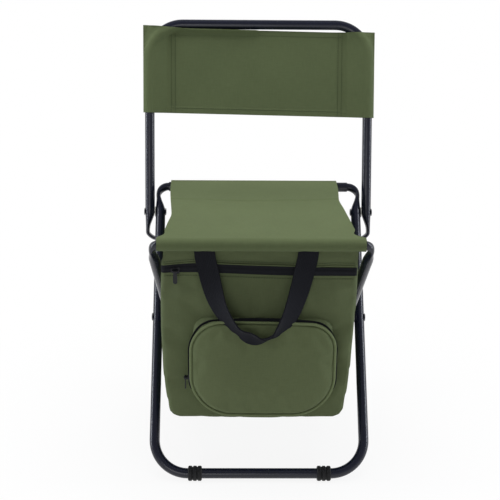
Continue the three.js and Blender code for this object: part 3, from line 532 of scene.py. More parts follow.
railY, railZ = legs["above"] * math.sin(math.radians(legs["lean"])), pivotZ + legs["above"] * math.cos(math.radians(legs["lean"]))
for name, body, node, half, y in (
    ("front_rail_tube", "rear_legs", "front_seat_rail", 136.6, -railY),
    ("rear_rail_tube", "front_legs", "rear_seat_rail", 142.0, railY),
):
    # a straight tube, its rims a little rolled in over the swaged leg ends
    outer, inner = tube["radius"], tube["radius"] - tube["wall"]
    profile = [(-half + 6, inner), (-half, inner), (-half + 0.2, outer - 0.45), (-half + 0.7, outer - 0.1), (-half + 1.4, outer)]
    profile = profile + [(-along, radius) for along, radius in profile[::-1]]
    rings = turned(profile, 0, y, railZ)
    finished(addPiece(name, rings, tubeSkin(rings), powderCoat), body, "painted_tube", node)

# the backrest's tail is pressed flat below its pivot and turned in behind the leg, where it stops
backrest = dict(lean=14.6, drop=43.0, rise=292.0, bend=52.0, tailHalf=3.2, tailWide=9.5, tailBend=10.0, tab=18.6, press=3.4)
pivotRun = legs["above"] - backrest["drop"]
backY = pivotRun * math.sin(math.radians(legs["lean"]))
backZ = pivotZ + pivotRun * math.cos(math.radians(legs["lean"]))
toLeg = math.radians(legs["lean"] - backrest["lean"])
tabHeight = -((tube["radius"] + 0.3 + backrest["tailWide"] * math.cos(toLeg)) / math.sin(toLeg) + backrest["tailHalf"])
tailBend, topBend = backrest["tailBend"], backrest["bend"]
backPath = np.vstack([
    line((backHalf - backrest["tab"], tabHeight), (backHalf - tailBend, tabHeight), 4),
    arc((backHalf - tailBend, tabHeight + tailBend), tailBend, -90, 0, 12),
    line((backHalf, tabHeight + tailBend), (backHalf, backrest["rise"] - topBend), 60),
    arc((backHalf - topBend, backrest["rise"] - topBend), topBend, 0, 90, 30),
    line((backHalf - topBend, backrest["rise"]), (0, backrest["rise"]), 12),
    [(0, backrest["rise"])],
])
tail = [(-200, backrest["tailHalf"], backrest["tailWide"]), (-28, backrest["tailHalf"], backrest["tailWide"]), (2, tube["radius"], tube["radius"]), (400, tube["radius"], tube["radius"])]
# the press leaves the tube's outer side straight
backPath[:, 0] += backrest["press"] * (1 - smooth((backPath[:, 1] + 28) / 30)) * smooth((backPath[:, 1] - tabHeight) / tailBend)
rings = leaned(bentTube(backPath, tail), backrest["lean"], backY, backZ)
finished(addPiece("backrest_frame_tube", rings, tubeSkin(rings), powderCoat), "backrest", "painted_tube", "backrest_tube")

rivet = dict(shank=3.0, head=5.8, height=1.5)


def rivetProfile(inside, outside):
    # a shank with a domed head at each end: the dome is a quarter ellipse from rim to middle
    turn = np.linspace(0, np.pi / 2, 9)
    dome = np.stack([0.4 + (rivet["height"] - 0.4) * np.sin(turn), rivet["head"] * np.cos(turn) ** 0.8], -1)
    dome[-1, 1] = 0.02
    rim = [(0, rivet["shank"]), (0, rivet["head"])]
    outer = np.vstack([rim, dome]) + [outside, 0]
    inner = (np.vstack([rim, dome]) * [-1, 1] + [inside, 0])[::-1]
    return np.vstack([inner, outer])


for side, sign in (("left", -1), ("right", 1)):
    for pair, body, inside, outside, y, z in (
        ("leg_rivet", "leg_pivots", rearHalf - 7.8, frontHalf + 7.8, 0, pivotZ),
        ("backrest_rivet", "front_legs", frontHalf - 7.8, backHalf + 7.8, backY, backZ),
    ):
        rings = turned(rivetProfile(inside, outside), 0, y, z) * [sign, 1, 1]
        finished(addPiece(f"{pair}_{side}_head", rings, tubeSkin(rings), rivetSteel), body, "rivet_steel", f"{pair}_{side}")
        repaint(f"{pair.replace('rivet', 'washer')}_{side}", washerNylon)

# ribbed rubber sleeves on the floor bars, worn flat where they stand
foot = dict(radius=11.0, bore=7.8, length=20.0, groove=1.4, grooveWidth=1.1)
span = np.linspace(-foot["length"] / 2, foot["length"] / 2, 61)
ribs = sum(np.exp(-((span - at) / foot["grooveWidth"]) ** 4) for at in (-3.4, 3.4))
ends = smooth((np.abs(span) - 8.6) / 1.4)
footProfile = np.vstack([[(-10, foot["bore"])], np.stack([span, foot["radius"] - foot["groove"] * ribs - 1.3 * ends], -1), [(10, foot["bore"])]])
for row, body, half, y in (("front_foot", "front_legs", frontHalf, -1), ("rear_foot", "rear_legs", rearHalf, 1)):
    for side, sign in (("left", -1), ("right", 1)):
        x = sign * (half - legs["floorBend"] - foot["length"] / 2)
        barY = y * legs["below"] * math.sin(math.radians(legs["lean"]))
        barZ = pivotZ - legs["below"] * math.cos(math.radians(legs["lean"]))
        rings = turned(footProfile, x, barY, barZ, 56)
        rings[..., 2] = np.maximum(rings[..., 2], 0.0)
        finished(addPiece(f"{row}_{side}_rubber", rings, tubeSkin(rings), footRubber), body, "foot_rubber", f"{row}_{side}")
print("steel frame ready")


# Stitching: short rounded threads set end to end along a path on the cloth

def stitches(name, path, normal, material=None, pitch=3.6, length=2.7, width=0.45, height=0.3):
    # each stitch is a spindle of four rings, set by the path's direction and the cloth's normal
    path = resampled(path, max(3, int(lengthAlong(np.asarray(path, float))[-1] / pitch)))
    along = unit(np.gradient(path, axis=0))
    out = np.broadcast_to(np.asarray(normal, float), path.shape)
    side = np.cross(along, out)
    side /= np.linalg.norm(side, axis=1, keepdims=True)
    run = np.array([-0.5, -0.36, 0.36, 0.5]) * length
    girth = np.array([0.35, 1.0, 1.0, 0.35])
    turn = np.linspace(0, 2 * np.pi, 6, endpoint=False)
    part = (
        path[:, None, None] + along[:, None, None] * run[:, None, None]
        + side[:, None, None] * (girth[:, None, None] * width * np.cos(turn)[:, None])
        + out[:, None, None] * (girth[:, None, None] * height * np.sin(turn)[:, None])
    )
    one = [*gridFaces(4, 6, wrapColumns=True).tolist(), list(range(6)), list(range(18, 24))]
    faces = [[index + 24 * k for index in face] for k in range(len(path)) for face in one]
    points = part.reshape(-1, 3)
    return addPiece(name, points, faces, material or threadCloth, np.zeros((len(points), 2)))


# Backrest cloth: a flat band with a sleeve sewn round each side tube

band = dict(low=150.0, high=281.0, half=1.2, seams=(43.0, 50.0), ease=0.6, hem=0.6, turnIn=12.0, lift=2.0, tilt=3.5, endRise=(4.0, 1.5))
sleeveRound = tube["radius"] + band["ease"] + band["half"]
bandEdge = backHalf + sleeveRound + band["hem"]
bandSeams = bandEdge - band["seams"][0], bandEdge - band["seams"][1]
bendStart = backrest["rise"] - topBend


def bandTilt(x, height):
    # the band has slid up a little on the left, and its upper corners have pulled up along the tube's bend
    x = np.asarray(x)
    rise = np.where(x < 0, *band["endRise"]) * smooth((np.abs(x) - 105) / 75) * smooth((height - 215) / 65)
    return band["lift"] - band["tilt"] * x / bandEdge + rise


def bandSide(height, inset, sign):
    # half thickness on one side: flat in the middle, a tent up to the tube from the seam, round over the tube
    bandSeam = bandSeams[0] if sign < 0 else bandSeams[1]
    rise = np.maximum(height + float(bandTilt(sign * bandEdge, height)) - bendStart, 0)
    tubeX = backHalf - topBend + np.sqrt(topBend ** 2 - rise ** 2)
    slant = np.sqrt(np.maximum(1 - (rise / topBend) ** 2, 0.05))
    fine = np.linspace(0, 1, 44)
    x = np.concatenate([line(0, bandSeam - 3, 26), bandSeam - 3 + (bandEdge - bandSeam + 3) * fine])
    wide = (sleeveRound - inset) / slant
    over = np.sqrt(np.clip(1 - ((x - tubeX) / wide) ** 2, 0, 1)) * (sleeveRound - inset)
    inner = np.clip((x - bandSeam) / (tubeX - bandSeam), 0, 1)
    outer = np.clip((bandEdge - x) / (bandEdge - tubeX), 0, 1)
    tent = (sleeveRound - inset) * np.where(x < tubeX, smooth(inner) * 0.5 + inner * 0.5, outer)
    # the turned hem is a little thicker along the top and bottom edges
    edge = np.minimum(height - band["low"], band["high"] - height)
    flat = band["half"] + 0.35 * (1 - smooth((edge - 9) / 1.5)) if inset == 0 else 0.08
    return x, np.maximum(np.maximum(over, tent * 0.92), flat)


def bandRow(height, inset):
    left, right = bandSide(height, inset, -1), bandSide(height, inset, 1)
    return np.concatenate([-left[0][:0:-1], right[0]]), np.concatenate([left[1][:0:-1], right[1]])


heights = np.concatenate([
    line(band["low"], band["low"] + 12, 9), line(band["low"] + 12, bendStart, 22),
    line(bendStart, band["high"] - 12, 10), np.linspace(band["high"] - 12, band["high"], 9),
])
rows = [(band["low"] + band["turnIn"], 1.15), (band["low"], 1.15), *[(h, 0.0) for h in heights], (band["high"], 1.15), (band["high"] - band["turnIn"], 1.15)]
loops = []
for height, inset in rows:
    x, half = bandRow(height, inset)
    sway = 0.5 * waves(x, height, 3, short=50, long=160)
    front = np.stack([x, sway - half, height + bandTilt(x, height)], -1)
    rear = np.stack([x, sway + half, height + bandTilt(x, height)], -1)[::-1]
    loops.append(np.vstack([front, rear]))
loops = np.array(loops)
uv = loops[..., [0, 2]]
rings = leaned(loops, backrest["lean"], backY, backZ)
backCloth = finished(addPiece("backrest_band", rings, tubeSkin(rings), seatCloth, uv, 60), "backrest", "seat_cloth", "backrest_cloth")


def onBand(x, height):
    # a path on the band's front face
    x, height = np.broadcast_arrays(x, height)
    return np.stack([x, 0.5 * waves(x, height, 3, short=50, long=160) - band["half"] - 0.4, height + bandTilt(x, height)], -1)


outOfBand = leaned([[0, -1, 0]], backrest["lean"], 0, 0)[0]
seamRun = np.linspace(band["low"] + 2, band["high"] - 2, 60)
hemRun = np.linspace(-bandSeams[0] + 4, bandSeams[1] - 4, 120)
for name, path in (
    ("backrest_seam_left", onBand(-bandSeams[0] + 1, seamRun)), ("backrest_seam_left_inner", onBand(-bandSeams[0] + 7, seamRun)),
    ("backrest_seam_right", onBand(bandSeams[1] - 1, seamRun)), ("backrest_seam_right_inner", onBand(bandSeams[1] - 7, seamRun)),
    ("backrest_hem_low", onBand(hemRun, band["low"] + 8.0)), ("backrest_hem_high", onBand(hemRun, band["high"] - 8.0)),
):
    finished(stitches(name, leaned(path, backrest["lean"], backY, backZ), outOfBand), "backrest", "seat_cloth")
print("backrest cloth ready")


# Seat cloth: two halves that meet in the middle, each drawn over its rail and tucked under it

seat = dict(radius=8.6, cloth=0.9, sag=4.2, hemStep=0.8, hemFrom=44.0, wrapEnd=300)
leftEdge = [(-150, -143), (-133, -142.6), (-129, -139), (-100, -134.9), (-69, -132.2), (-38, -129.4), (-1, -131.1), (39, -134), (89, -136.9), (150, -138.2)]
rightEdge = [(-150, 141), (-133, 140.6), (-128, 133.8), (-99, 131), (-68, 128.9), (-8, 124.3), (42, 120.6), (63, 121.9), (95, 123.6), (132, 124.2), (150, 124.4)]


def seatTop(x, y):
    # height of the cloth between the rails: a shallow sag across and along, slack ripples, and the rear hem's step
    left, right = through(leftEdge, y), through(rightEdge, y)
    across = (2 * x - left - right) / (right - left)
    share = np.clip(np.abs(y) / railY, 0, 1)
    z = railZ + seat["radius"] - seat["sag"] * (1 - across ** 2) * np.cos(share * np.pi / 2) ** 1.4
    z = z + 0.7 * waves(x, y, 11, short=40, long=140) * (1 - share ** 6)
    seam = 0.6 * np.exp(-((y - seat["hemFrom"] + 1.5) / 1.8) ** 2)
    return z - seam + seat["hemStep"] * smooth((y - seat["hemFrom"]) / 1.6)


def seatHalf(sign):
    # rows run from the middle to the rail, then round the rail; columns run across
    flat = railY * np.sin(np.linspace(0, np.pi / 2, 90))[:-1]
    turn = np.radians(np.linspace(90, seat["wrapEnd"], 60))
    hem = seat["hemStep"] if sign > 0 else 0.0
    run = np.concatenate([flat, railY - seat["radius"] * np.cos(turn)]) * sign
    wrapped = (np.arange(len(run)) >= len(flat))[:, None]
    across = np.linspace(-1, 1, 121)
    reach = np.where(wrapped[:, 0], railY * sign, run)
    left, right = through(leftEdge, reach), through(rightEdge, reach)
    x = (left + right)[:, None] / 2 + (right - left)[:, None] / 2 * across
    y = np.broadcast_to(run[:, None], x.shape)
    around = np.concatenate([np.zeros(len(flat)), railZ + (seat["radius"] + hem) * np.sin(turn)])[:, None]
    z = np.where(wrapped, around, seatTop(x, np.where(wrapped, 0, y)))
    # small gathers where the sleeve is sewn up under the rail
    under = np.concatenate([np.zeros(len(flat)), smooth((turn - np.pi) / 1.6)])[:, None]
    z = z + under * 0.5 * waves(x, 0 * x, 17 + sign, short=9, long=26)
    length = lengthAlong(np.stack([run, np.where(wrapped[:, 0], around[:, 0], railZ + seat["radius"])], -1))
    return np.stack([x, y, z], -1), np.stack([x, np.broadcast_to(length[:, None], x.shape)], -1)


def narrowsWithFold(piece):
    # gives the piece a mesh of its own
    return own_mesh(piece)


def flattensWithFold(piece):
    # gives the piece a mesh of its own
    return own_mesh(piece)


def foldsWithSeat(piece):
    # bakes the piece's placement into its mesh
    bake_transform(piece)
    return piece


for name, sign, node in (("seat_front_cloth", -1, "seat_front_sleeve"), ("seat_rear_cloth", 1, "seat_rear_sleeve")):
    top, uv = seatHalf(sign)
    rings, faces = slabSkin(top[:, ::-1] if sign > 0 else top, seat["cloth"])
    piece = addPiece(name, rings, faces, seatCloth, slabUv(uv[:, ::-1] if sign > 0 else uv), 55)
    foldsWithSeat(piece)
    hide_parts(node, "seat_panel")

hemX = np.linspace(-131, 118, 120)
sideY = np.linspace(3, 122, 50)
for name, sign, x, y in (
    ("seat_rear_seam", 1, hemX, np.full_like(hemX, seat["hemFrom"] + 3.5)), ("seat_rear_seam_second", 1, hemX, np.full_like(hemX, seat["hemFrom"] + 9.5)),
    ("seat_side_left_front", -1, through(leftEdge, -sideY) + 6, -sideY), ("seat_side_right_front", -1, through(rightEdge, -sideY) - 6, -sideY),
    ("seat_side_left_rear", 1, through(leftEdge, sideY) + 6, sideY), ("seat_side_right_rear", 1, through(rightEdge, sideY) - 6, sideY),
):
    foldsWithSeat(stitches(name, np.stack([x, y, seatTop(x, y) + 0.1], -1), (0, 0, 1)))
print("seat cloth ready")


# Cooler bag: soft trays at the front and back, with a gusset between them

bag = dict(front=-122.0, corner=18.0, bottom=85.0, sag=1.8, top=365.5, edge=6.0, crown=3.5, rim=14.0, topRim=7.0, thinFrom=325.0)
bagMiddle = [(80, -4.8), (130, -5.0), (194, -4.6), (271, -3.3), (326, -1.8), (345, -1.0), (370, -1.0)]
bagHalf = [(80, 127.5), (106, 128.6), (130, 132.4), (194, 136.8), (271, 138.9), (326, 138.1), (345, 137.4), (356, 133.0), (368, 122.0)]


def bagOutline(drawnIn, count=360):
    # round the panel from its top right corner down: side, round bottom corner, sagging bottom edge, and back up
    z = np.linspace(bag["top"], bag["bottom"] + bag["corner"], 60)
    right = np.stack([through(bagHalf, z) - drawnIn * smooth((z - 280) / 65), z], -1)
    low = right[-1]
    corner = arc((low[0] - bag["corner"], low[1]), bag["corner"], 0, -90, 14)
    x = np.linspace(low[0] - bag["corner"], 0, 40)
    under = np.stack([x, bag["bottom"] - bag["sag"] * np.cos(x / (low[0] - bag["corner"]) * np.pi / 2) ** 2], -1)
    half = np.vstack([right, corner, under])
    outline = resampled(np.vstack([half, half[-2::-1] * [-1, 1]]), count, closed=True)
    return outline + np.stack([through(bagMiddle, outline[:, 1]), np.zeros(count)], -1)


def insetOf(outline, inset):
    # each point moved inwards along the outline's normal
    along = np.roll(outline, -1, 0) - np.roll(outline, 1, 0)
    along /= np.linalg.norm(along, axis=1, keepdims=True)
    normal = np.stack([along[:, 1], -along[:, 0]], -1)
    area = (outline[:, 0] * np.roll(outline[:, 1], -1) - outline[:, 1] * np.roll(outline[:, 0], -1)).sum()
    return outline - normal * np.asarray(inset).reshape(-1, 1) * np.sign(area)


def rimBack(faceY, outward, z):
    # where the tray's back lies at a height: nearer its face along the top, which leaves the seat room to fold
    return faceY - outward * (bag["rim"] + (bag["topRim"] - bag["rim"]) * smooth((z - bag["thinFrom"]) / 8))


def trayRings(outline, faceY, edge, crown, dents, outward, steps=26):
    # out across the back, forward along the rim, round the edge by a quarter circle, then in across a crowned face
    turn = np.linspace(0, np.pi / 2, 9)
    inner, outer = insetOf(outline, 1.0), insetOf(outline, 0.3)
    behind = [inner.mean(0) + (inner - inner.mean(0)) * k for k in np.linspace(0.012, 1, 24)]
    behind = [np.insert(ring, 1, rimBack(faceY, outward, ring[:, 1]), axis=1) for ring in behind]
    rings = [np.insert(outer, 1, (rimBack(faceY, outward, outer[:, 1]) + faceY - outward * edge) / 2, axis=1)]
    for t in turn:
        ring = insetOf(outline, edge * (1 - np.cos(t)))
        rings.append(np.insert(ring, 1, faceY - outward * edge * (1 - np.sin(t)), axis=1))
    rim = insetOf(outline, edge)
    centre = rim.mean(0)
    for k in np.linspace(1, 0.012, steps)[1:]:
        ring = centre + (rim - centre) * k
        rings.append(np.insert(ring, 1, faceY + outward * crown * (1 - k ** 2.2), axis=1))
    rings = np.array(rings)
    face = smooth((np.arange(len(rings)) - 1) / 9)[:, None]
    rings[..., 1] += outward * dents(rings[..., 0], rings[..., 2]) * face
    return np.concatenate([behind, rings])


def frontDents(x, z):
    # slack ripples, and puckers that run to the pocket's upper corners
    low = 0.7 * waves(x, z, 21, short=60, long=150)
    pucker = 1.4 * np.exp(-((x + 98 + (z - 262) * 0.9) / 9) ** 2) * np.exp(-((z - 262) / 22) ** 2)
    pucker += 1.0 * np.exp(-((x + 120) / 8) ** 2) * np.exp(-((z - 225) / 45) ** 2)
    pucker += 1.1 * np.exp(-((x - 110 - (z - 262) * 0.7) / 10) ** 2) * np.exp(-((z - 262) / 24) ** 2)
    return low - pucker


def rearDents(x, z):
    return 1.0 * waves(x, z, 5, short=50, long=150)


def inside(outline, x, z):
    # whether points lie in a closed outline, by counting the edges to their right
    a, b = outline, np.roll(outline, -1, 0)
    crossing = (a[:, 1] > z[:, None]) != (b[:, 1] > z[:, None])
    at = a[:, 0] + (z[:, None] - a[:, 1]) / np.where(b[:, 1] == a[:, 1], 1e-9, b[:, 1] - a[:, 1]) * (b[:, 0] - a[:, 0])
    return (crossing & (x[:, None] < at)).sum(1) % 2 == 1


zipLine = [(-141, 317.6), (-120, 319.6), (-94, 321.0), (-62, 320.0), (44, 316.7), (134, 314.6)]
zipWide = [(-141, 10.4), (-120, 11.6), (-94, 13.2), (-62, 12.8), (44, 12.8), (134, 11.4)]
# pairs are at the bag and at the pocket's front
pocket = dict(
    x=3.2, z=173.0, half=100.5, high=68.8, front=-150.3, back=-122.5,
    topLeft=(20, 43), topRight=(20, 34), low=(46, 58), rise=(6.5, 0), crown=2.5, belly=4.0, edge=5.0, piping=2.1, tilt=0.018, bulge=5.0,
)


def pocketOutline(grow, share=1.0, count=300):
    # a rectangle with large round corners, rounder below; towards the bag its top rises and squares off
    topLeft, topRight, low, rise = (pocket[key][0] + (pocket[key][1] - pocket[key][0]) * share for key in ("topLeft", "topRight", "low", "rise"))
    half, high, top = pocket["half"] + grow, pocket["high"] + grow, pocket["high"] + grow + rise
    topLeft, topRight, low = topLeft + grow, topRight + grow, low + grow
    shape = np.vstack([
        arc((half - topRight, top - topRight), topRight, 0, 90, 24), arc((-half + topLeft, top - topLeft), topLeft, 90, 180, 24),
        arc((-half + low, -high + low), low, 180, 270, 24), arc((half - low, -high + low), low, 270, 360, 24),
    ])
    shape = resampled(shape, count, closed=True)
    shape[:, 1] += 1.6 * np.cos(shape[:, 0] / half * np.pi / 2) * np.sign(shape[:, 1]) * smooth((np.abs(shape[:, 1]) - 40) / 20)
    shape[:, 1] -= pocket["tilt"] * shape[:, 0] * smooth((shape[:, 1] + 20) / 60)
    return shape + [pocket["x"], pocket["z"]]


def pocketWall(grow, share, count=300):
    # the outline at a depth, with the wall's slack pushed out at both sides
    shape = pocketOutline(grow, share, count)
    x, z = (shape - [pocket["x"], pocket["z"]]).T
    side = np.sign(x) * smooth((np.abs(x) - 72) / 22) * smooth((54 - np.abs(z)) / 26)
    shape[:, 0] += pocket["bulge"] * math.sin(math.pi * share) * side
    return shape


def heldFront(x, y, z):
    # sewn down at the rim and the top, along the zip, and behind the pocket
    rim = (y > bag["front"] + bag["edge"] + 1) | (z > 340)
    return rim | (np.abs(z - through(zipLine, x)) < 13) | inside(pocketOutline(-4, count=120), x, z)


def heldRear(x, y, z):
    return (y < -bag["front"] - bag["edge"] - 1) | (z > 340)


paddedCloth = dict(voxel=4.5, pressure=1.5, slack=0.008, stiff=6.0, cap=6.0, steps=20)
for name, body, nodes, outward, held, drawnIn in (
    ("bag_front_cloth", "bag_front", ("bag_front_panel", "bag_front_band"), -1, heldFront, 0.0),
    ("bag_rear_cloth", "bag_rear", ("bag_rear_panel",), 1, heldRear, 12.0),
):
    face = bag["front"] * -outward
    rings = trayRings(bagOutline(drawnIn), face, bag["edge"], bag["crown"], frontDents if outward < 0 else rearDents, outward)
    points, squares = swelled(rings, tubeSkin(rings), held, paddedCloth)
    piece = finished(narrowsWithFold(rounded(addPiece(name, points, squares, bagCloth, "box", 180))), body, "bag_cloth", *nodes)

# the gusset: a U of padded cloth, pinched between the legs and slack in soft upright folds
gusset = dict(flare=3.5, shift=-2.2, depth=108.0, topDepth=114.4, top=336.0, corner=18.0, wall=2.6, topWall=1.2, slack=1.0)
gussetHalf = [(80, 117.0), (106, 118.5), (140, 122.5), (190, 125.5), (260, 126.0), (320, 125.0), (345, 122.5), (370, 118.5)]


def gussetSide(x, z, depth):
    # across the bag: flared at its ends, and drawn in by upright folds of slack cloth above the bottom corners
    ends = np.minimum(np.abs(depth) / gusset["depth"], 1)
    slack = np.sin(depth / 15.0 + 1.1 * np.sin(z / 55)) + 0.6 * np.sin(depth / 8.3 - z / 70) - 1.6
    slack = gusset["slack"] * slack * (1 - ends ** 8) * smooth((z - 100) / 60)
    return x * (1 + gusset["flare"] / 126 * ends ** 4) + np.sign(x) * slack + gusset["shift"] * ends ** 2


low = bag["bottom"] + 0.8
z = np.linspace(gusset["top"], low + gusset["corner"], 70)
side = np.stack([-through(gussetHalf, z), z], -1)
bottomHalf = -side[-1, 0]
halfU = np.vstack([side, arc((-bottomHalf + gusset["corner"], low + gusset["corner"]), gusset["corner"], 180, 270, 14)[1:], line((-bottomHalf + gusset["corner"], low), (0, low), 30)])
uPath = np.vstack([halfU, [(0, low)], halfU[::-1] * [-1, 1]])
depth = np.linspace(-gusset["depth"], gusset["depth"], 72)
run = lengthAlong(uPath)
upright = smooth((uPath[:, 1:] - 100) / 60)
x = gussetSide(uPath[:, :1], uPath[:, 1:], depth)
z = np.broadcast_to(uPath[:, 1:], x.shape) + (1 - upright) * 0.8 * waves(uPath[:, :1], depth, 31, short=40, long=120)
deeper = 1 + (gusset["topDepth"] / gusset["depth"] - 1) * smooth((uPath[:, 1:] - bag["thinFrom"]) / 8)
outer = np.stack([x, depth * deeper, z], -1)
uv = laidOut(depth, run[:, None], x.shape)
wall = gusset["wall"] + (gusset["topWall"] - gusset["wall"]) * smooth((uPath[::-1, 1:] - 316) / 18)
rings, faces = slabSkin(outer[::-1], wall)
piece = addPiece("bag_gusset_cloth", rings, faces, bagCloth, slabUv(uv[::-1]), 55)
flattensWithFold(piece)
finished(piece, "bag", "bag_cloth", "bag_gusset")

# a skirt inside the gusset closes the bag up to the seat; it stays under the seat when the bag rises past it
skirt = dict(low=333.0, top=366.2, inset=2.3, tuck=2.4, wall=1.3)
for name, sign in (("bag_skirt_left", -1), ("bag_skirt_right", 1)):
    depth, z = np.meshgrid(np.linspace(-gusset["topDepth"], gusset["topDepth"], 80), np.linspace(skirt["low"], skirt["top"], 14))
    x = gussetSide(sign * through(gussetHalf, z), z, depth) - sign * (skirt["inset"] + skirt["tuck"] * (1 - smooth((z - skirt["low"]) / 12)))
    top = np.stack([x, depth, z], -1)
    rings, faces = slabSkin(top[:, ::-1] if sign < 0 else top, skirt["wall"])
    uv = np.stack([depth, z], -1)
    piece = addPiece(name, rings, faces, bagCloth, slabUv(uv[:, ::-1] if sign < 0 else uv), 55)
    flattensWithFold(piece)
    finished(piece, "leg_pivots", "bag_cloth")
print("bag ready")

# foil liner: a thin tub inside the padded walls
liner = dict(half=112.0, depth=106.0, low=92.5, top=322.0, corner=16.0, wall=1.0)
plan = resampled(np.vstack([
    arc((liner["half"] - liner["corner"], liner["depth"] - liner["corner"]), liner["corner"], 0, 90, 8),
    arc((-liner["half"] + liner["corner"], liner["depth"] - liner["corner"]), liner["corner"], 90, 180, 8),
    arc((-liner["half"] + liner["corner"], -liner["depth"] + liner["corner"]), liner["corner"], 180, 270, 8),
    arc((liner["half"] - liner["corner"], -liner["depth"] + liner["corner"]), liner["corner"], 270, 360, 8),
]), 160, closed=True)
rings = []
for inset, zs in ((0.0, (liner["top"], 300, 240, 180, 130, liner["low"] + 6)), (3.0, (liner["low"] + 1,)), (8.0, (liner["low"],)), (60.0, (liner["low"],)), (100.0, (liner["low"],))):
    rings += [np.insert(insetOf(plan, inset) if inset < 12 else plan * (1 - inset / 120), 2, z, axis=1) for z in zs]
for inset, zs in ((100.0, (liner["low"] + 1,)), (60.0, (liner["low"] + 1,)), (9.0, (liner["low"] + 1,)), (4.0, (liner["low"] + 2,)), (1.0, (liner["low"] + 7, 130, 180, 240, 300, liner["top"]))):
    rings += [np.insert(insetOf(plan, inset) if inset < 12 else plan * (1 - inset / 120), 2, z, axis=1) for z in zs]
rings = np.array(rings)
piece = addPiece("bag_foil_tub", rings, gridFaces(len(rings), 160, wrapRows=True, wrapColumns=True), linerFoil)
flattensWithFold(piece)
finished(piece, "bag", "liner_foil", "bag_liner")

# the lid's foil-backed foam under the seat
lid = dict(half=111.0, depth=106.0, top=361.0, dip=1.5, thickness=3.0)
u, v = np.meshgrid(np.linspace(-lid["half"], lid["half"], 31), np.linspace(-lid["depth"], lid["depth"], 41))
dip = lid["dip"] * np.cos(u / lid["half"] * np.pi / 2) * np.cos(v / lid["depth"] * np.pi / 2)
rings, faces = slabSkin(np.stack([u, v, lid["top"] - dip], -1)[:, ::-1], lid["thickness"])
piece = addPiece("bag_lid_foam", rings, faces, linerFoil)
flattensWithFold(piece)
finished(piece, "leg_pivots", "liner_foil", "bag_lid")


# Front pocket: a stiffened pouch with a piped edge and a zip round its gusset

def pocketShell():
    # back rim, a slack gusset wall, the rounded edge and the crowned face
    outline = pocketOutline(0)
    rings = []
    for share in np.linspace(0, 1, 12):
        y = pocket["back"] + (pocket["front"] + 4 + pocket["edge"] - pocket["back"]) * share
        rings.append(np.insert(pocketWall(-1.2 * np.sin(share * np.pi), share), 1, y, axis=1))
    for t in np.linspace(0, np.pi / 2, 8)[1:]:
        ring = insetOf(outline, pocket["edge"] * (1 - np.cos(t)))
        rings.append(np.insert(ring, 1, pocket["front"] + 4 + pocket["edge"] * (1 - np.sin(t)), axis=1))
    rim = insetOf(outline, pocket["edge"])
    centre = rim.mean(0)
    for k in np.linspace(1, 0.012, 24)[1:]:
        ring = centre + (rim - centre) * k
        full = pocket["crown"] + pocket["belly"] * np.exp(-((ring[:, 1] - pocket["z"] + 28) / 42) ** 2)
        rings.append(np.insert(ring, 1, pocket["front"] + 4 - full * (1 - k ** 3), axis=1))
    rings = np.array(rings)
    face = smooth((np.arange(len(rings)) - 18) / 6)[:, None]
    rings[..., 1] += 0.4 * waves(rings[..., 0], rings[..., 2], 9, short=60, long=130) * face
    return rings


def heldPocket(x, y, z):
    # sewn to the bag behind and to the piping in front
    edge = inside(pocketOutline(-3.5, count=120), x, z)
    return (y > pocket["back"] - 4) | (~edge & (y < pipingY + 2.5) & (y > pipingY - 2.5))


pipingY = pocket["front"] + 8.0
rings = pocketShell()
points, squares = swelled(rings, tubeSkin(rings), heldPocket, dict(voxel=3.5, pressure=2.0, slack=0.015, stiff=8.0, cap=4.0, steps=20))
# the pouch wears the lighter copy of the bag cloth, painted light
piece = finished(rounded(addPiece("pocket_pouch", points, squares, pocketClothPaintedLighter, "box", 180)), "bag_front", "bag_cloth", "pocket_shell")


def roundCord(path, radius, closed, sides=12):
    # a circle carried along a path
    along = (np.roll(path, -1, 0) - np.roll(path, 1, 0)) if closed else np.gradient(path, axis=0)
    along /= np.linalg.norm(along, axis=1, keepdims=True)
    out = np.cross(along, [0, 1, 0])
    out /= np.linalg.norm(out, axis=1, keepdims=True)
    upWay = np.cross(out, along)
    turn = np.linspace(0, 2 * np.pi, sides, endpoint=False)[:, None]
    return path[:, None] + radius * (out[:, None] * np.cos(turn) + upWay[:, None] * np.sin(turn))


pipingPath = np.insert(pocketOutline(pocket["piping"] - 0.4), 1, pipingY, axis=1)
rings = roundCord(pipingPath, pocket["piping"], True)
uv = laidOut(lengthAlong(pipingPath)[:, None], np.linspace(0, 12, 12), rings.shape[:2])
finished(addPiece("pocket_piping_cord", rings, gridFaces(len(rings), 12, wrapRows=True, wrapColumns=True), pipingCloth, uv), "bag_front", "piping_cloth", "pocket_piping")

# the pocket's zip runs from low on the left, over the top, to low on the right
pocketZip = dict(width=9.0, behind=2.6, coil=0.24, proud=0.7, rise=0.9, low=-34.0, middle=11.0, open=52.0, closed=0.25)
across = np.linspace(-1, 1, 25)
tapeY = pipingY + pocketZip["behind"] + (across + 1) / 2 * pocketZip["width"]
shares = (tapeY - pocket["back"]) / (pocket["front"] + 4 + pocket["edge"] - pocket["back"])
wall = pocketWall(0, shares[12], 600)
order = np.roll(np.arange(600), -wall[:, 1].argmin())
order = order[wall[order, 1] - pocket["z"] > pocketZip["low"]]
wall = wall[order]
walls = np.stack([pocketWall(0, share, 600)[order] for share in shares], 1)
outward = np.stack([pocketWall(1, share, 600)[order] for share in shares], 1) - walls
narrow = pocketZip["closed"] + (1 - pocketZip["closed"]) * np.exp(-((wall[:, 0] - pocket["x"] - pocketZip["middle"]) / pocketZip["open"]) ** 4)
narrow = np.where(wall[:, 1] > pocket["z"] + 30, narrow, pocketZip["closed"])
column = 12 + 12 * across * narrow[:, None]
first = np.clip(column.astype(int), 0, 23)
part = (column - first)[..., None]
row = np.arange(len(wall))[:, None]
lift = pocketZip["proud"] + pocketZip["rise"] * np.exp(-(across / pocketZip["coil"]) ** 4)
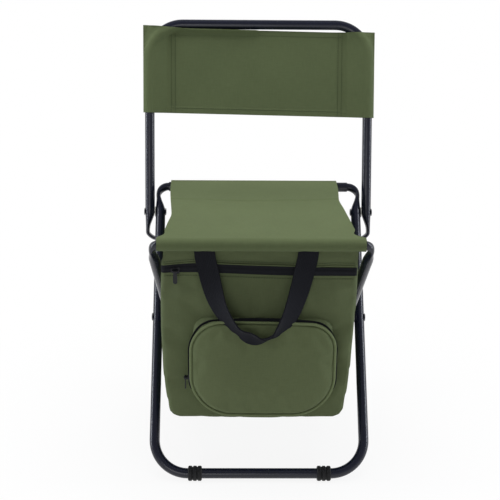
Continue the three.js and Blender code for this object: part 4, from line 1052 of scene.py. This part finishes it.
flatTape = walls[row, first] * (1 - part) + walls[row, first + 1] * part + outward[row, first] * lift[:, None]
top = np.stack([flatTape[..., 0], np.interp(column, np.arange(25), tapeY), flatTape[..., 1]], -1)
tapeAcross = across * pocketZip["width"] / 2
tapeRun = lengthAlong(wall)
uv = laidOut(tapeAcross, tapeRun[:, None], top.shape[:2])
rings, faces = slabSkin(top, 1.0)
finished(addPiece("pocket_zip_band", rings, faces, zipTape, slabUv(uv), 60), "bag_front", "zip_tape", "pocket_zip_tape")
print("pocket ready")


# Main zip: a bowed tape across the front with a coil down its middle

mainZip = dict(proud=0.7, left=-140.0, right=134.0, coil=2.2, pitch=2.4)
x = np.linspace(mainZip["left"], mainZip["right"], 420)
across = np.linspace(-0.5, 0.5, 23)


def frontFace(x, z):
    # the front cloth's face at a place
    half = through(bagHalf, z)
    off = np.abs(x - through(bagMiddle, z))
    edge = np.clip((half - off) / bag["edge"], 0, 1)
    k = np.clip(off / half, 0, 1)
    return bag["front"] + bag["edge"] * (1 - np.sqrt(1 - (1 - edge) ** 2)) - bag["crown"] * (1 - k ** 2.2) * 0.85 - frontDents(x, z)


zipZ = through(zipLine, x)[:, None] + through(zipWide, x)[:, None] * across
teeth = 0.8 * np.exp(-(across * 12.4 / mainZip["coil"]) ** 4) * (1 + 0.25 * np.sin(x[:, None] * 2 * np.pi / mainZip["pitch"]))
zipY = frontFace(x[:, None], zipZ) - mainZip["proud"] - 0.6 - teeth
top = np.stack([np.broadcast_to(x[:, None], zipZ.shape), zipY, zipZ], -1)
uv = np.stack([zipZ, np.broadcast_to(x[:, None], zipZ.shape)], -1)
rings, faces = slabSkin(top[:, ::-1], 2.4)
finished(narrowsWithFold(addPiece("main_zip_band", rings, faces, zipTape, slabUv(uv[:, ::-1]), 60)), "bag_front", "zip_tape", "main_zip_tape")

# the cloth is turned in along both sides of the zip and sewn down
for name, sign in (("main_zip_edge_upper", 1), ("main_zip_edge_lower", -1)):
    # the slider runs straight, so the upper edge keeps clear of it at the far end
    clear = 0.9 + (1.9 * smooth((x - 75) / 30) if sign > 0 else 0)
    edgeZ = through(zipLine, x) + sign * (through(zipWide, x) / 2 + clear)
    path = np.stack([x, frontFace(x, edgeZ) - 0.1, edgeZ], -1)[2:-2]
    rings = roundCord(path, 1.2, False)
    uv = laidOut(path[:, :1], np.linspace(0, 9, 12), rings.shape[:2])
    finished(narrowsWithFold(addPiece(name, rings, tubeSkin(rings), bagCloth, uv, 60)), "bag_front", "bag_cloth")
    rowZ = edgeZ + sign * 4.2
    row = np.stack([x, frontFace(x, rowZ) - 0.5, rowZ], -1)[8:-8]
    finished(narrowsWithFold(stitches(name + "_row", row, (0, -1, 0))), "bag_front", "bag_cloth")

for node in ("main_zip_slider", "main_zip_pull", "pocket_zip_slider", "pocket_zip_pull"):
    repaint(node, zipEnamel)


# Carry handle: webbing sewn flat under the front rail, hanging out over the pocket and turned edge-on at its bottom

handle = dict(width=29.0, thickness=1.8, rolled=6.0)
loop = np.array([
    (-79.3, -124.0, 349.7), (-79.0, -124.6, 343), (-73.5, -128, 316), (-67, -134, 292), (-60.5, -140, 274), (-50.4, -147, 256.8), (-36, -153.5, 240),
    (-17, -158.5, 229.6), (0, -160, 225.6), (14, -158.5, 229.6), (27, -153.5, 240.5), (39.5, -147, 257), (47.5, -140, 275), (53.3, -134, 292), (60, -128, 317), (65.2, -124.6, 343), (65.5, -124.0, 349.7),
])
run = lengthAlong(loop)
at = np.linspace(0, run[-1], 181)
path = np.stack([through(np.stack([run, loop[:, k]], -1), at) for k in range(3)], -1)
along = unit(np.gradient(path, axis=0))
flatWay = np.stack([-along[:, 2], np.zeros(len(path)), along[:, 0]], -1)
flatWay /= np.linalg.norm(flatWay, axis=1, keepdims=True)
outWay = np.cross(along, flatWay)
# flat on the bag at its ends, turning edge-on towards the bottom of the loop
turnStops = [
    (0, 0), (0.12, 5), (0.27, 33), (0.37, 44), (0.425, 45), (0.46, 28), (0.49, 32),
    (0.515, 50), (0.55, 68), (0.6, 50), (0.66, 34), (0.75, 22), (0.88, 7), (1, 0),
]
twist = np.radians(through(turnStops, at / run[-1]))
wide = flatWay * np.cos(twist)[:, None] + outWay * np.sin(twist)[:, None]
thin = np.cross(wide, along)
across = np.linspace(-0.5, 0.5, 21)
# its edges curl in at the bottom, where a hand would hold it
width = handle["width"] - handle["rolled"] * np.exp(-((at / run[-1] - 0.5) / 0.14) ** 2)
cup = (0.8 + (handle["width"] - width)[:, None] * 0.35) * (1 - (2 * across) ** 2)
top = path[:, None] + wide[:, None] * (across * width[:, None])[..., None] + thin[:, None] * cup[..., None]
uv = laidOut(across * handle["width"], lengthAlong(path)[:, None], top.shape[:2])
rings, faces = slabSkin(top, handle["thickness"])
finished(addPiece("carry_strap", rings, faces, webbing, slabUv(uv), 60), "carry_handle", "webbing", "carry_handle")

# its sewn ends run on up the bag, under the seat's front sleeve
for name, x in (("strap_end_left", -79.3), ("strap_end_right", 65.5)):
    u, v = np.meshgrid(np.linspace(-0.5, 0.5, 13) * handle["width"], np.linspace(352.6, 362.0, 8))
    top = np.stack([x + u, frontFace(x + u, v) - 2.2, v], -1)
    rings, faces = slabSkin(top, handle["thickness"])
    finished(addPiece(name, rings, faces, webbing, slabUv(np.stack([u, v], -1)), 60), "bag_front", "webbing")
print("handle ready")
